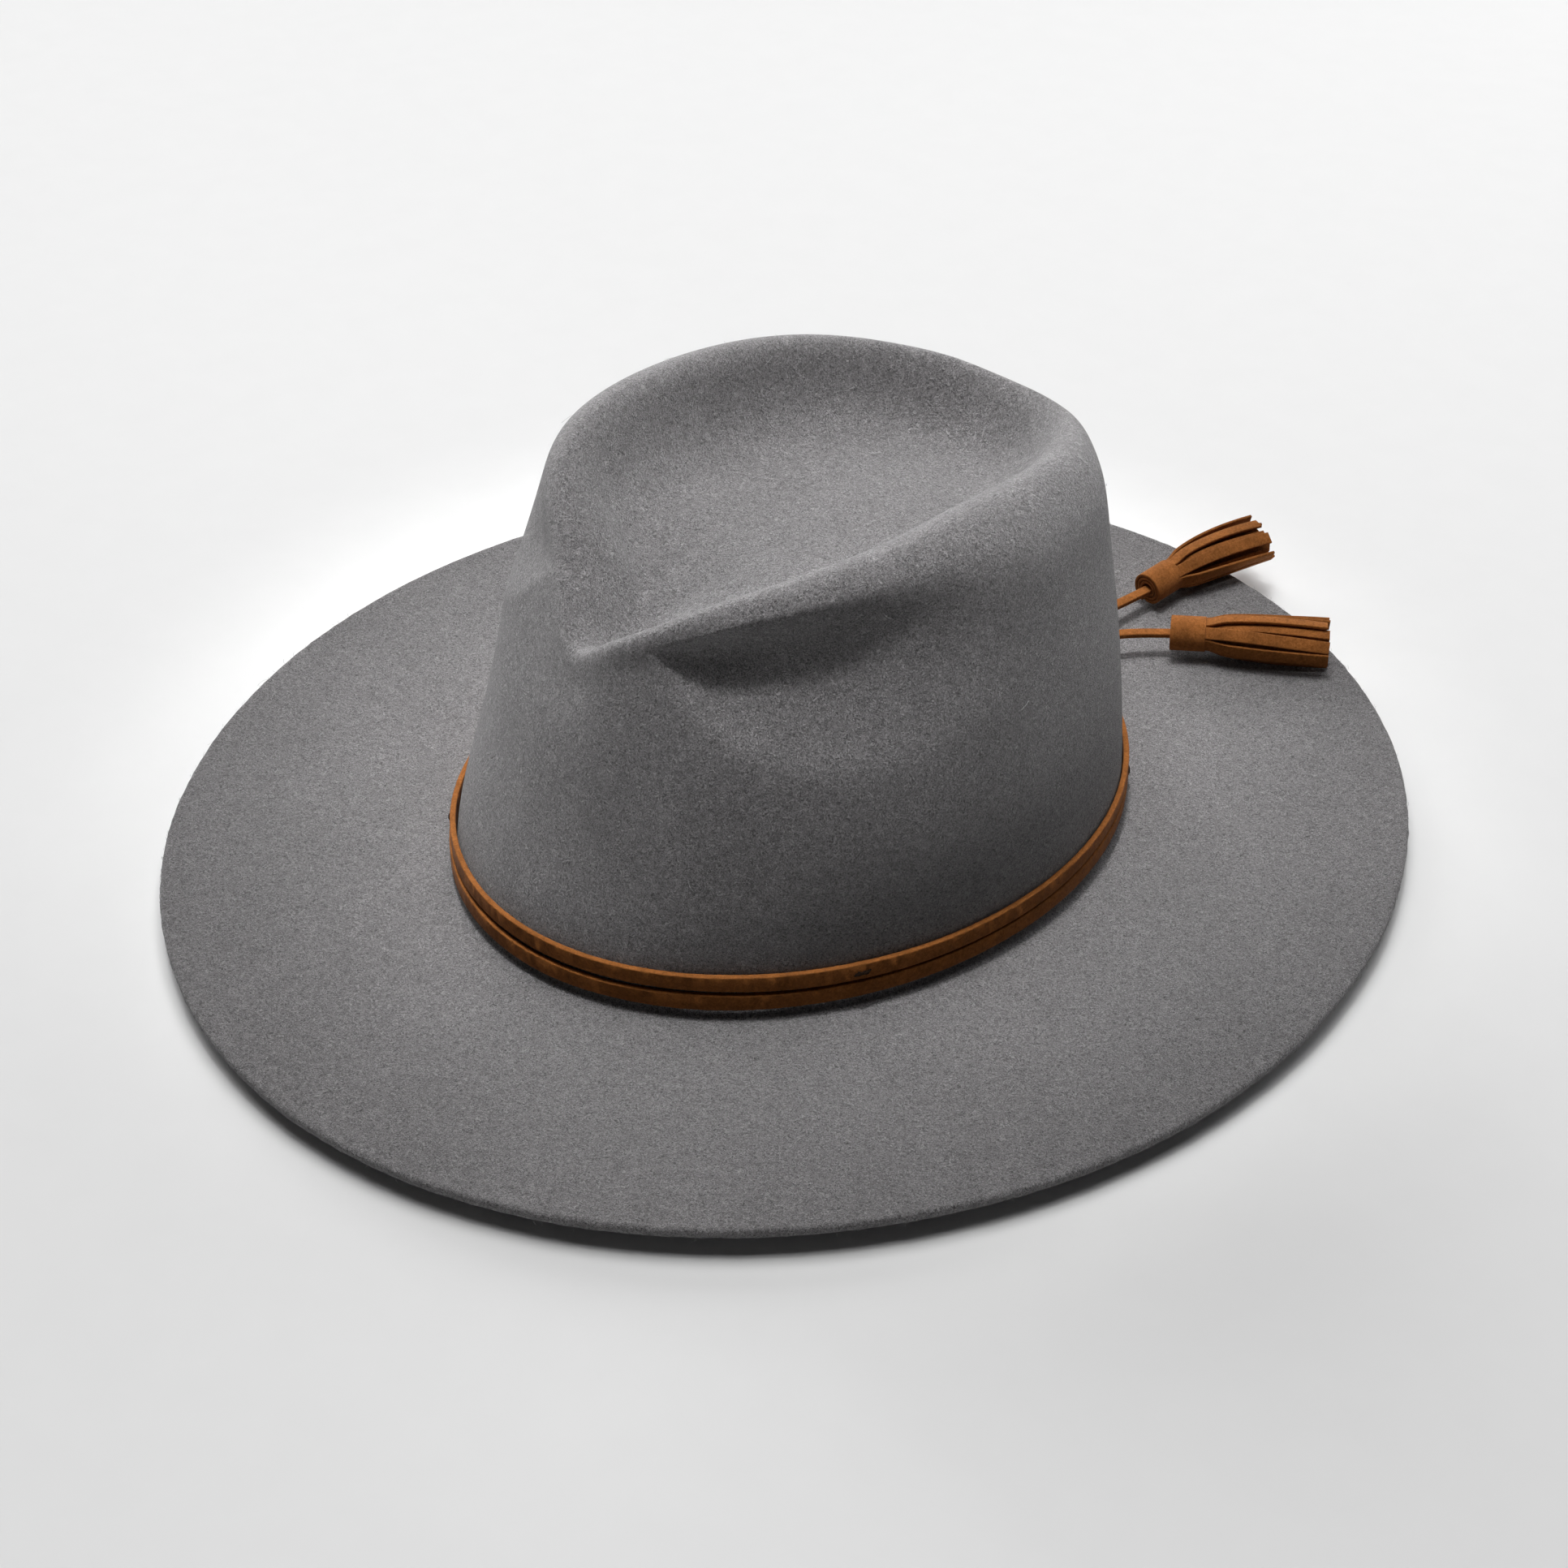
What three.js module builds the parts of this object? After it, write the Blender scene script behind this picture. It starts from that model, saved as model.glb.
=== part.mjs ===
// A wide-brimmed wool felt hat with a teardrop crown, a double suede lace band and two tassels.
// Millimetres. +Z is up, the front of the hat faces -Y and the wearer's left is +X.
// The hat stands on a flat ring of felt just outside the head opening, at z = 0.

import * as THREE from "three";

// Felt body
const FELT = 2.8;
const BRIM_HALF_LENGTH = 190;
const BRIM_HALF_WIDTH = 172.8;
const BRIM_RISE = 5.4;
const REST_RING = 0.13;
const RISE_POWER = 1.35;
const EDGE_ROUND = 0.6;
const BASE_HALF_LENGTH = 105;
const BASE_HALF_WIDTH = 86.6;
const BREAK_RADIUS = 3.2;
const WALL_FOOT = FELT + BREAK_RADIUS;

// Crown shape
const RIDGE_HEIGHT = 113;
const FRONT_DROP = 8.5;
const END_DROP = 9.8;
const LEFT_EAR = { rise: 5, angle: 0.75, spread: 0.4 };
const RIGHT_EAR = { rise: 11.5, angle: 0.92, spread: 0.52 };
const TIP_DIP = 6.5;
const TIP_SPREAD = 0.2;
const FRONT_CUT = 8;
const FRONT_CUT_SPREAD = 0.55;
const PROW_PINCH = 0.27;
const PROW_ANGLE = 0.38;
const PROW_SPREAD = 0.27;
const RIGHT_PROW = 0.3;
const LEFT_PRESS = { angle: 1.02, spread: 0.48 };
const RIGHT_PRESS = { angle: 0.47, spread: 0.38 };
const LEFT_DENT_DEPTH = 7.5;
const RIGHT_DENT_DEPTH = 3;
const DENT_FOOT = 74;
const DENT_FRONT_RISE = 75;
const DENT_REAR_RISE = 28;
const DENT_MIDDLE = 1.05;
const DENT_START = 0.42;
const DENT_END = 1.85;
const DENT_SOFTNESS = 0.05;
const DENT_PEAK = 0.4195;
const CREASE_STATION = 0.56;
const CREASE_TURN = 0.04;
const TEARDROP = 0.07;
const SHOULDER_HEIGHT = 68;
const HOLLOW_DEPTH = 14;
const FLOOR_TILT = 1.6;

// Mesh density
const AROUND = 48;
const CROWN_STEPS = 20;

// Lace band: two turns, one above the other
const CLEARANCE = 0.35;
const TRIM_GAP = 0.6;
const LACE_WIDTH = 5.3;
const LACE_THICKNESS = 1.7;
const LACE_LOWER_FOOT = 6.3;
const LACE_UPPER_FOOT = LACE_LOWER_FOOT + LACE_WIDTH + CLEARANCE;
const KNOT_X = -12;
const KNOT_WIDTH = 13;
const KNOT_THICKNESS = 2.6;
const TACK_SIZE = 1.6;

// Sweatband
const SWEATBAND_THICKNESS = 1.4;
const SWEATBAND_GAP = 0.9;
const SWEATBAND_FOOT = 2.6;
const SWEATBAND_TOP = 37;
const REED_RADIUS = 0.8;
const THREAD_RADIUS = 0.35;

// Tassels and the lace tails that carry them
const CORD_RADIUS = 1.5;
const CORD_SIDES = 8;
const CORD_STEPS = 8;
const TASSEL_LENGTH = 51;
const TASSEL_SIDES = 16;
const CORD_GAP = 0.3;
const CORD_A_ROUTE = [[-15, 110.4, 12.4], [-15.4, 118, 12.3], [-15.8, 130, 12.0], [-16.4, 143, 11.8], [-16.9, 156, 12]];
const CORD_B_ROUTE = [[-9, 110.4, 12.4], [-7.7, 117, 12.3], [-5, 126, 12], [-0.6, 135.5, 11.8], [6.5, 144.9, 12]];
const TASSEL_A_TIP = [-15.4, 206.8, 17.2];
const TASSEL_B_TIP = [43.0, 180.6, 16];

const FELT_GREY = 0x7d7a7a;
const SUEDE_BROWN = 0x8a5730;
const LEATHER_BROWN = 0x4a3526;
const RIBBON_GREY = 0x3c3a3b;
const THREAD_DARK = 0x2a1a10;
const LABEL_CREAM = 0xe6e0d2;

const hat = new THREE.Group();

function addPiece(name, geometry, color, roughness) {
  const material = new THREE.MeshStandardMaterial({ color, roughness, metalness: 0 });
  const mesh = new THREE.Mesh(geometry, material);
  mesh.name = name;
  hat.add(mesh);
}

// ---- closed bodies from rings of points ----

function signedVolume(points, faces) {
  let volume = 0;
  for (const [a, b, c] of faces) {
    volume += points[a].dot(new THREE.Vector3().crossVectors(points[b], points[c]));
  }
  return volume / 6;
}

function closedGeometry(points, faces) {
  const outward = signedVolume(points, faces) > 0;
  const geometry = new THREE.BufferGeometry();
  geometry.setFromPoints(points);
  geometry.setIndex(faces.flatMap(([a, b, c]) => (outward ? [a, b, c] : [a, c, b])));
  geometry.computeVertexNormals();
  return geometry;
}

function stitchRings(faces, first, second, count) {
  for (let i = 0; i < count; i++) {
    const j = (i + 1) % count;
    faces.push([first + i, first + j, second + j]);
    faces.push([first + i, second + j, second + i]);
  }
}

// Rings joined one to the next, with the last joined back to the first: a hoop.
function hoopGeometry(rings) {
  const count = rings[0].length;
  const faces = [];
  rings.forEach((ring, r) => stitchRings(faces, r * count, ((r + 1) % rings.length) * count, count));
  return closedGeometry(rings.flat(), faces);
}

// Rings joined one to the next and closed by a point at each end: a pod.
function podGeometry(start, rings, end) {
  const count = rings[0].length;
  const faces = [];
  for (let r = 0; r + 1 < rings.length; r++) {
    stitchRings(faces, r * count, (r + 1) * count, count);
  }
  const startIndex = rings.length * count;
  const lastRing = (rings.length - 1) * count;
  for (let i = 0; i < count; i++) {
    const j = (i + 1) % count;
    faces.push([startIndex, j, i]);
    faces.push([startIndex + 1, lastRing + i, lastRing + j]);
  }
  return closedGeometry([...rings.flat(), start, end], faces);
}

// ---- crown surface: control rings blended upwards by a clamped cubic B-spline ----

function lobe(distance, spread) {
  return Math.exp(-((distance / spread) ** 2));
}

function signedAngle(theta) {
  return Math.atan2(Math.sin(theta), Math.cos(theta));
}

// 1 on the wearer's left, 0 on the right, turning over smoothly at the front and the back.
function leftShare(theta) {
  return 0.5 + 0.5 * Math.tanh(Math.sin(theta) / 0.15);
}

function bySide(theta, left, right) {
  return THREE.MathUtils.lerp(right, left, leftShare(theta));
}

function earHeight(theta, { rise, angle, spread }) {
  return rise * lobe(Math.abs(signedAngle(theta)) - angle, spread);
}

// Low at the front tip, with an ear on each side behind it.
function ridgeHeight(theta) {
  const ends = FRONT_DROP * Math.cos(theta) + END_DROP * Math.cos(2 * theta);
  const ears = bySide(theta, earHeight(theta, LEFT_EAR), earHeight(theta, RIGHT_EAR));
  return RIDGE_HEIGHT - ends + ears - TIP_DIP * lobe(signedAngle(theta), TIP_SPREAD);
}

function ovalPoint(theta, halfLength, halfWidth, shift, height, narrow = 1) {
  const x = halfWidth * Math.sin(theta) * narrow;
  const y = shift - halfLength * Math.cos(theta);
  return new THREE.Vector3(x, y, height);
}

// How far a hand presses the crown in toward its middle: the left side, and the right side's front.
function pressDepth(theta, left, right) {
  const turn = signedAngle(theta);
  const leftDepth = left * lobe(turn - LEFT_PRESS.angle, LEFT_PRESS.spread);
  const rightDepth = right * lobe(turn + RIGHT_PRESS.angle, RIGHT_PRESS.spread);
  return bySide(theta, leftDepth, rightDepth);
}

// An oval with its front set back and its sides pressed in, all turned a little round the crown.
function creasedPoint(theta, { length, left, right, shift, height, narrow, cut, leftPress, rightPress }) {
  const point = ovalPoint(theta, length, bySide(theta, left, right), shift, height, narrow);
  point.y += cut * FRONT_CUT * lobe(signedAngle(theta), FRONT_CUT_SPREAD);
  const inward = pressDepth(theta, leftPress, rightPress);
  point.x -= inward * Math.sin(theta);
  point.y += inward * Math.cos(theta);
  return point.applyAxisAngle(new THREE.Vector3(0, 0, 1), CREASE_TURN);
}

// Rings of the pinched wall, from the band up to the shoulder below the ridge.
function wallControls(theta, ridge, drop) {
  const prow = lobe(Math.abs(signedAngle(theta)) - PROW_ANGLE, PROW_SPREAD);
  const pinch = PROW_PINCH * bySide(theta, 1, RIGHT_PROW) * prow;
  const pinchHeight = 0.35 * SHOULDER_HEIGHT + 0.65 * (ridge - 6);
  const shoulder = (0.5 + 0.5 * drop) * (1 - 0.55 * pinch);
  return [
    { length: 98.7, left: 87.2, right: 87.2, shift: 3.4, height: 40,
      narrow: 1, cut: 0.4, leftPress: 0, rightPress: 0 },
    { length: 95.6, left: 82.3, right: 82.3, shift: 4.3, height: SHOULDER_HEIGHT,
      narrow: 1 - 0.5 * pinch, cut: 0.85, leftPress: 1, rightPress: 2 },
    { length: 94, left: 76, right: 76, shift: 2.7, height: pinchHeight,
      narrow: 1 - pinch, cut: 1.4, leftPress: 8, rightPress: 6 },
    { length: 87, left: 72, right: 71, shift: 6.2, height: ridge - 4,
      narrow: shoulder, cut: 0.45, leftPress: 5.5, rightPress: 5.5 },
  ];
}

// Rings of the ridge and of the hollow inside it.
function ridgeControls(theta, ridge, drop) {
  const tip = lobe(signedAngle(theta), 0.5);
  const floor = RIDGE_HEIGHT - HOLLOW_DEPTH;
  const slope = 0.25 * ridge + 0.75 * RIDGE_HEIGHT;
  return [
    { length: 86.5, left: 58, right: 59, shift: 3, height: ridge + bySide(theta, 5.5, 3),
      narrow: drop, cut: 1, leftPress: 2, rightPress: 7.5 },
    { length: 80, left: 46, right: 54, shift: 4, height: ridge + bySide(theta, 0.5, -1),
      narrow: drop, cut: 1.2, leftPress: 1, rightPress: 12 },
    { length: 73, left: 37, right: 50, shift: 4, height: ridge - 14 + 8 * tip,
      narrow: drop, cut: 1.4, leftPress: 0, rightPress: 14 },
    { length: 60, left: 29, right: 39, shift: 4, height: slope - 18,
      narrow: drop, cut: 0.8, leftPress: 0, rightPress: 6 },
    { length: 27, left: 14, right: 17, shift: 6, height: floor - FLOOR_TILT * Math.cos(theta),
      narrow: drop, cut: 0, leftPress: 0, rightPress: 0 },
  ];
}

function crownControls(theta) {
  const ridge = ridgeHeight(theta);
  const drop = 1 - TEARDROP * Math.cos(theta);
  const creased = [...wallControls(theta, ridge, drop), ...ridgeControls(theta, ridge, drop)];
  return [
    ovalPoint(theta, BASE_HALF_LENGTH, BASE_HALF_WIDTH, 0, WALL_FOOT),
    ovalPoint(theta, BASE_HALF_LENGTH, BASE_HALF_WIDTH, 0, WALL_FOOT + 12),
    ...creased.map((ring) => creasedPoint(theta, ring)),
    ovalPoint(theta, 0, 0, 8, RIDGE_HEIGHT - HOLLOW_DEPTH),
  ];
}

// How far the side pinch goes in: straight in from a crisp foot, deepest close under the ridge.
function dentDepth(theta, height, v) {
  if (v >= CREASE_STATION) {
    return 0;
  }
  const side = Math.abs(signedAngle(theta - CREASE_TURN));
  const rise = side < DENT_MIDDLE ? DENT_FRONT_RISE : DENT_REAR_RISE;
  const foot = DENT_FOOT + rise * (side - DENT_MIDDLE) ** 2;
  const part = (height - foot) / Math.max(ridgeHeight(theta) - foot, 1);
  const soft = THREE.MathUtils.clamp((part + Math.hypot(part, DENT_SOFTNESS)) / 2, 0, 1);
  const profile = (soft * (1 - soft ** 3) ** 1.5) / DENT_PEAK;
  const starts = THREE.MathUtils.smoothstep(side, DENT_START, DENT_START + 0.3);
  const ends = THREE.MathUtils.smoothstep(DENT_END - side, 0, 0.9);
  return bySide(theta, LEFT_DENT_DEPTH, RIGHT_DENT_DEPTH) * profile * starts * ends;
}

const DEGREE = 3;
const SPANS = crownControls(0).length - DEGREE;

function knot(index) {
  return THREE.MathUtils.clamp((index - DEGREE) / SPANS, 0, 1);
}

// De Boor's rule on the control points of one angle.
function smoothCrownPoint(theta, v) {
  const controls = crownControls(theta);
  const span = DEGREE + Math.min(Math.floor(v * SPANS), SPANS - 1);
  const near = [];
  for (let i = 0; i <= DEGREE; i++) {
    near.push(controls[span - DEGREE + i].clone());
  }
  for (let round = 1; round <= DEGREE; round++) {
    for (let i = DEGREE; i >= round; i--) {
      const low = knot(span - DEGREE + i);
      const high = knot(span + 1 + i - round);
      near[i].lerpVectors(near[i - 1], near[i], (v - low) / (high - low));
    }
  }
  return near[DEGREE];
}

function crownPoint(theta, v) {
  const point = smoothCrownPoint(theta, v);
  const inward = new THREE.Vector3(-Math.sin(theta) / 0.9, Math.cos(theta) / 1.1, 0).normalize();
  return point.addScaledVector(inward, dentDepth(theta, point.z, v));
}

function crownNormal(theta, v) {
  const step = 1e-3;
  const along = crownPoint(theta + step, v).sub(crownPoint(theta - step, v));
  const up = crownPoint(theta, Math.min(v + step, 1)).sub(crownPoint(theta, Math.max(v - step, 0)));
  return new THREE.Vector3().crossVectors(along, up).normalize();
}

// A point below (or, with a negative depth, outside) the outer face of the felt.
function underCrown(theta, v, depth) {
  return crownPoint(theta, v).addScaledVector(crownNormal(theta, v), -depth);
}

function angleAt(i) {
  return (2 * Math.PI * i) / AROUND;
}

function ringOf(pointAt) {
  return Array.from({ length: AROUND }, (_, i) => pointAt(angleAt(i)));
}

// The height where the wall's side v lies, and a point on the wall moved out or in level.
function wallStation(height) {
  let low = 0;
  let high = 1 / SPANS;
  for (let i = 0; i < 30; i++) {
    const middle = (low + high) / 2;
    if (crownPoint(0, middle).z < height) {
      low = middle;
    } else {
      high = middle;
    }
  }
  return low;
}

function wallPoint(theta, height, outset) {
  const v = wallStation(Math.max(height, WALL_FOOT));
  const point = crownPoint(theta, v);
  const side = crownPoint(theta + 1e-3, v).sub(crownPoint(theta - 1e-3, v));
  const outward = new THREE.Vector3(side.y, -side.x, 0).normalize();
  point.addScaledVector(outward, outset);
  point.z = height;
  return point;
}

// ---- felt body ----

function brimLift(t) {
  return BRIM_RISE * Math.max((t - REST_RING) / (1 - REST_RING), 0) ** RISE_POWER;
}

function brimRing(t, height, inset = 0) {
  const halfLength = BASE_HALF_LENGTH + BREAK_RADIUS;
  const halfWidth = BASE_HALF_WIDTH + BREAK_RADIUS;
  const length = THREE.MathUtils.lerp(halfLength, BRIM_HALF_LENGTH, t) - inset;
  const width = THREE.MathUtils.lerp(halfWidth, BRIM_HALF_WIDTH, t) - inset;
  return ringOf((theta) => ovalPoint(theta, length, width, 0, height));
}

function breakRing(radius, turn) {
  const outset = BREAK_RADIUS - radius * Math.cos(turn);
  const height = WALL_FOOT - radius * Math.sin(turn);
  const length = BASE_HALF_LENGTH + outset;
  const width = BASE_HALF_WIDTH + outset;
  return ringOf((theta) => ovalPoint(theta, length, width, 0, height));
}

function crownRings(depth) {
  const rings = [];
  for (let step = 1; step < CROWN_STEPS; step++) {
    const v = step / CROWN_STEPS;
    rings.push(ringOf((theta) => underCrown(theta, v, depth)));
  }
  return rings;
}

function feltGeometry() {
  const brimStations = [REST_RING, 0.42, 0.7];
  const breakTurns = [0, Math.PI / 6, Math.PI / 3, Math.PI / 2];
  const underside = [
    ...breakTurns.map((turn) => breakRing(BREAK_RADIUS + FELT, turn)),
    ...brimStations.map((t) => brimRing(t, brimLift(t))),
    brimRing(1, BRIM_RISE, EDGE_ROUND),
    brimRing(1, BRIM_RISE + EDGE_ROUND),
  ];
  const topside = [
    brimRing(1, BRIM_RISE + FELT - EDGE_ROUND),
    brimRing(1, BRIM_RISE + FELT, EDGE_ROUND),
    ...brimStations.reverse().map((t) => brimRing(t, brimLift(t) + FELT)),
    ...breakTurns.reverse().map((turn) => breakRing(BREAK_RADIUS, turn)),
  ];
  const rings = [...crownRings(FELT).reverse(), ...underside, ...topside, ...crownRings(0)];
  const top = crownPoint(0, 1);
  return podGeometry(top.clone().setZ(top.z - FELT), rings, top);
}

// ---- hoops round the wall ----

function bandGeometry(foot, top, innerOutset, outerOutset, rows) {
  const heights = Array.from({ length: rows }, (_, i) => THREE.MathUtils.lerp(foot, top, i / (rows - 1)));
  const inner = heights.map((height) => ringOf((theta) => wallPoint(theta, height, innerOutset)));
  const outer = heights.map((height) => ringOf((theta) => wallPoint(theta, height, outerOutset)));
  return hoopGeometry([...inner, ...outer.reverse()]);
}

function roundHoopGeometry(height, outset, radius, sides) {
  const rings = [];
  for (let i = 0; i < sides; i++) {
    const turn = (2 * Math.PI * (i + 0.5)) / sides;
    const ringHeight = height + radius * Math.sin(turn);
    const ringOutset = outset + radius * Math.cos(turn);
    rings.push(ringOf((theta) => wallPoint(theta, ringHeight, ringOutset)));
  }
  return hoopGeometry(rings);
}

// A slab that follows the wall between two angles and two heights.
function patchGeometry(centre, halfAngle, foot, top, innerOutset, outerOutset) {
  const columns = 5;
  const rings = [];
  for (let i = 0; i < columns; i++) {
    const theta = centre + halfAngle * ((2 * i) / (columns - 1) - 1);
    rings.push([
      wallPoint(theta, foot, innerOutset),
      wallPoint(theta, foot, outerOutset),
      wallPoint(theta, top, outerOutset),
      wallPoint(theta, top, innerOutset),
    ]);
  }
  const middle = (ring) => ring.reduce((sum, p) => sum.add(p), new THREE.Vector3()).divideScalar(4);
  return podGeometry(middle(rings[0]), rings, middle(rings[columns - 1]));
}

// ---- tassels and lace tails ----

function toVector([x, y, z]) {
  return new THREE.Vector3(x, y, z);
}

function tailGeometry(route) {
  const points = route.map(toVector);
  const last = points[points.length - 1];
  const heading = last.clone().sub(points[points.length - 2]).normalize();
  last.addScaledVector(heading, -CORD_GAP);
  const section = new THREE.Shape();
  for (let i = 0; i < CORD_SIDES; i++) {
    const turn = (2 * Math.PI * (i + 0.5)) / CORD_SIDES;
    const x = CORD_RADIUS * Math.cos(turn);
    const y = CORD_RADIUS * Math.sin(turn);
    if (i === 0) {
      section.moveTo(x, y);
    } else {
      section.lineTo(x, y);
    }
  }
  const extrudePath = new THREE.CatmullRomCurve3(points);
  return new THREE.ExtrudeGeometry(section, { steps: CORD_STEPS, bevelEnabled: false, extrudePath });
}

// Rolled cap, narrow neck, then the fringe, which is wider than it is high where it lies on the brim.
const TASSEL_PROFILE = [
  { along: 0.0, halfWidth: 5.0, halfHeight: 5.0 },
  { along: 0.6, halfWidth: 5.6, halfHeight: 5.6 },
  { along: 10.8, halfWidth: 5.6, halfHeight: 5.6 },
  { along: 12.2, halfWidth: 5.2, halfHeight: 5.2 },
  { along: 24, halfWidth: 7.4, halfHeight: 6.0 },
  { along: 38, halfWidth: 8.6, halfHeight: 6.4 },
  { along: TASSEL_LENGTH, halfWidth: 9.4, halfHeight: 6.4 },
];

function tasselGeometry(start, tip) {
  const origin = toVector(start);
  const axis = toVector(tip).sub(origin).normalize();
  const side = new THREE.Vector3().crossVectors(axis, new THREE.Vector3(0, 0, 1)).normalize();
  const rise = new THREE.Vector3().crossVectors(side, axis);
  const rings = TASSEL_PROFILE.map(({ along, halfWidth, halfHeight }) => {
    const centre = origin.clone().addScaledVector(axis, along);
    return Array.from({ length: TASSEL_SIDES }, (_, i) => {
      const turn = (2 * Math.PI * i) / TASSEL_SIDES;
      const point = centre.clone().addScaledVector(side, halfWidth * Math.cos(turn));
      return point.addScaledVector(rise, halfHeight * Math.sin(turn));
    });
  });
  const end = origin.clone().addScaledVector(axis, TASSEL_LENGTH);
  return podGeometry(origin, rings, end);
}

// ---- bow at the back of the sweatband ----

function bowLoopGeometry(centre, halfAngle, foot, top, waistHeight, innerOutset, outerOutset, towards) {
  const columns = 4;
  const middle = (foot + top) / 2;
  const rings = [];
  for (let i = 0; i < columns; i++) {
    const part = i / (columns - 1);
    const theta = centre + towards * halfAngle * part;
    const halfHeight = THREE.MathUtils.lerp(waistHeight / 2, (top - foot) / 2, part);
    rings.push([
      wallPoint(theta, middle - halfHeight, innerOutset),
      wallPoint(theta, middle - halfHeight, outerOutset),
      wallPoint(theta, middle + halfHeight, outerOutset),
      wallPoint(theta, middle + halfHeight, innerOutset),
    ]);
  }
  const average = (ring) => ring.reduce((sum, p) => sum.add(p), new THREE.Vector3()).divideScalar(4);
  return podGeometry(average(rings[0]), rings, average(rings[columns - 1]));
}

// ---- assembly ----

const BACK = Math.PI;
const KNOT_ANGLE = BACK + Math.asin(-KNOT_X / BASE_HALF_WIDTH);
const LACE_OUTSET = CLEARANCE + LACE_THICKNESS;
const SWEATBAND_OUTER = -(FELT + SWEATBAND_GAP);
const SWEATBAND_INNER = SWEATBAND_OUTER - SWEATBAND_THICKNESS;

function addFelt() {
  addPiece("felt_body", feltGeometry(), FELT_GREY, 0.95);
}

function addLaceBand() {
  const upperTop = LACE_UPPER_FOOT + LACE_WIDTH;
  const lowerTop = LACE_LOWER_FOOT + LACE_WIDTH;
  const upper = bandGeometry(LACE_UPPER_FOOT, upperTop, CLEARANCE, LACE_OUTSET, 2);
  const lower = bandGeometry(LACE_LOWER_FOOT, lowerTop, CLEARANCE, LACE_OUTSET, 2);
  addPiece("band_lace_upper", upper, SUEDE_BROWN, 0.95);
  addPiece("band_lace_lower", lower, SUEDE_BROWN, 0.95);
  const inner = LACE_OUTSET + CLEARANCE;
  const half = KNOT_WIDTH / 2 / BASE_HALF_WIDTH;
  const foot = LACE_LOWER_FOOT - 0.2;
  const knotBody = patchGeometry(KNOT_ANGLE, half, foot, upperTop + 0.2, inner, inner + KNOT_THICKNESS);
  addPiece("band_knot", knotBody, SUEDE_BROWN, 0.95);
}

// Small dark stitches that hold the laces to the felt: one on each lace at either side.
function addTacks() {
  const inner = LACE_OUTSET + CLEARANCE;
  const half = TACK_SIZE / 2 / BASE_HALF_WIDTH;
  const places = [
    { name: "band_tack_front_left", angle: 1.2, foot: LACE_UPPER_FOOT + 1.2 },
    { name: "band_tack_front_right", angle: -0.5, foot: LACE_UPPER_FOOT + 1.2 },
    { name: "band_tack_back_left", angle: BACK - 0.6, foot: LACE_LOWER_FOOT + 1.2 },
    { name: "band_tack_back_right", angle: BACK + 0.6, foot: LACE_LOWER_FOOT + 1.2 },
  ];
  for (const { name, angle, foot } of places) {
    addPiece(name, patchGeometry(angle, half, foot, foot + 2.6, inner, inner + 0.6), THREAD_DARK, 0.8);
  }
}

function addSweatband() {
  const band = bandGeometry(SWEATBAND_FOOT, SWEATBAND_TOP, SWEATBAND_INNER, SWEATBAND_OUTER, 4);
  addPiece("sweatband", band, LEATHER_BROWN, 0.7);
  const reed = roundHoopGeometry(SWEATBAND_FOOT - 0.8, -2, REED_RADIUS, 5);
  addPiece("sweatband_reed", reed, LEATHER_BROWN, 0.6);
  const thread = roundHoopGeometry(5, SWEATBAND_INNER - CLEARANCE - THREAD_RADIUS, THREAD_RADIUS, 4);
  addPiece("sweatband_thread", thread, THREAD_DARK, 0.8);
}

function addBackOfSweatband() {
  const tapeOuter = SWEATBAND_INNER - CLEARANCE;
  const tapeInner = tapeOuter - 0.8;
  const tape = patchGeometry(BACK, 6 / BASE_HALF_WIDTH, 7, 34, tapeInner, tapeOuter);
  addPiece("sweatband_seam_tape", tape, LEATHER_BROWN, 0.7);
  const bowOuter = tapeInner - TRIM_GAP;
  const bowInner = bowOuter - 2.4;
  const knotHalf = 2.5 / BASE_HALF_WIDTH;
  const knotBody = patchGeometry(BACK, knotHalf, 13.5, 20.5, bowInner - 0.6, bowOuter);
  addPiece("bow_knot", knotBody, RIBBON_GREY, 0.8);
  const start = knotHalf + 0.4 / BASE_HALF_WIDTH;
  const reach = 15 / BASE_HALF_WIDTH;
  for (const [name, towards] of [["bow_loop_left", -1], ["bow_loop_right", 1]]) {
    const centre = BACK + towards * start;
    const loop = bowLoopGeometry(centre, reach, 11.5, 22.5, 4.5, bowInner, bowOuter, towards);
    addPiece(name, loop, RIBBON_GREY, 0.8);
  }
}

function addLabels() {
  const outer = SWEATBAND_INNER - CLEARANCE;
  const sizeLabel = patchGeometry(BACK - 0.5, 9 / BASE_HALF_WIDTH, 14, 26, outer - 0.5, outer);
  addPiece("size_label", sizeLabel, LABEL_CREAM, 0.9);
  const careLabel = patchGeometry(BACK + 0.5, 11 / BASE_HALF_WIDTH, 10, 32, outer - 0.5, outer);
  addPiece("care_label", careLabel, LABEL_CREAM, 0.9);
}

function addTassels() {
  addPiece("tassel_cord_a", tailGeometry(CORD_A_ROUTE), SUEDE_BROWN, 0.95);
  addPiece("tassel_cord_b", tailGeometry(CORD_B_ROUTE), SUEDE_BROWN, 0.95);
  addPiece("tassel_a", tasselGeometry(CORD_A_ROUTE.at(-1), TASSEL_A_TIP), SUEDE_BROWN, 0.95);
  addPiece("tassel_b", tasselGeometry(CORD_B_ROUTE.at(-1), TASSEL_B_TIP), SUEDE_BROWN, 0.95);
}

addFelt();
addLaceBand();
addTacks();
addSweatband();
addBackOfSweatband();
addLabels();
addTassels();

export default hat;
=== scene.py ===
"""A wide-brimmed wool felt hat with a doubled suede lace band and two suede tassels.

Lengths are in millimetres until a mesh is made, and the frame is the CAD's: +Z up, the front of the hat
towards -Y, the wearer's left towards +X.
"""

import math

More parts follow.
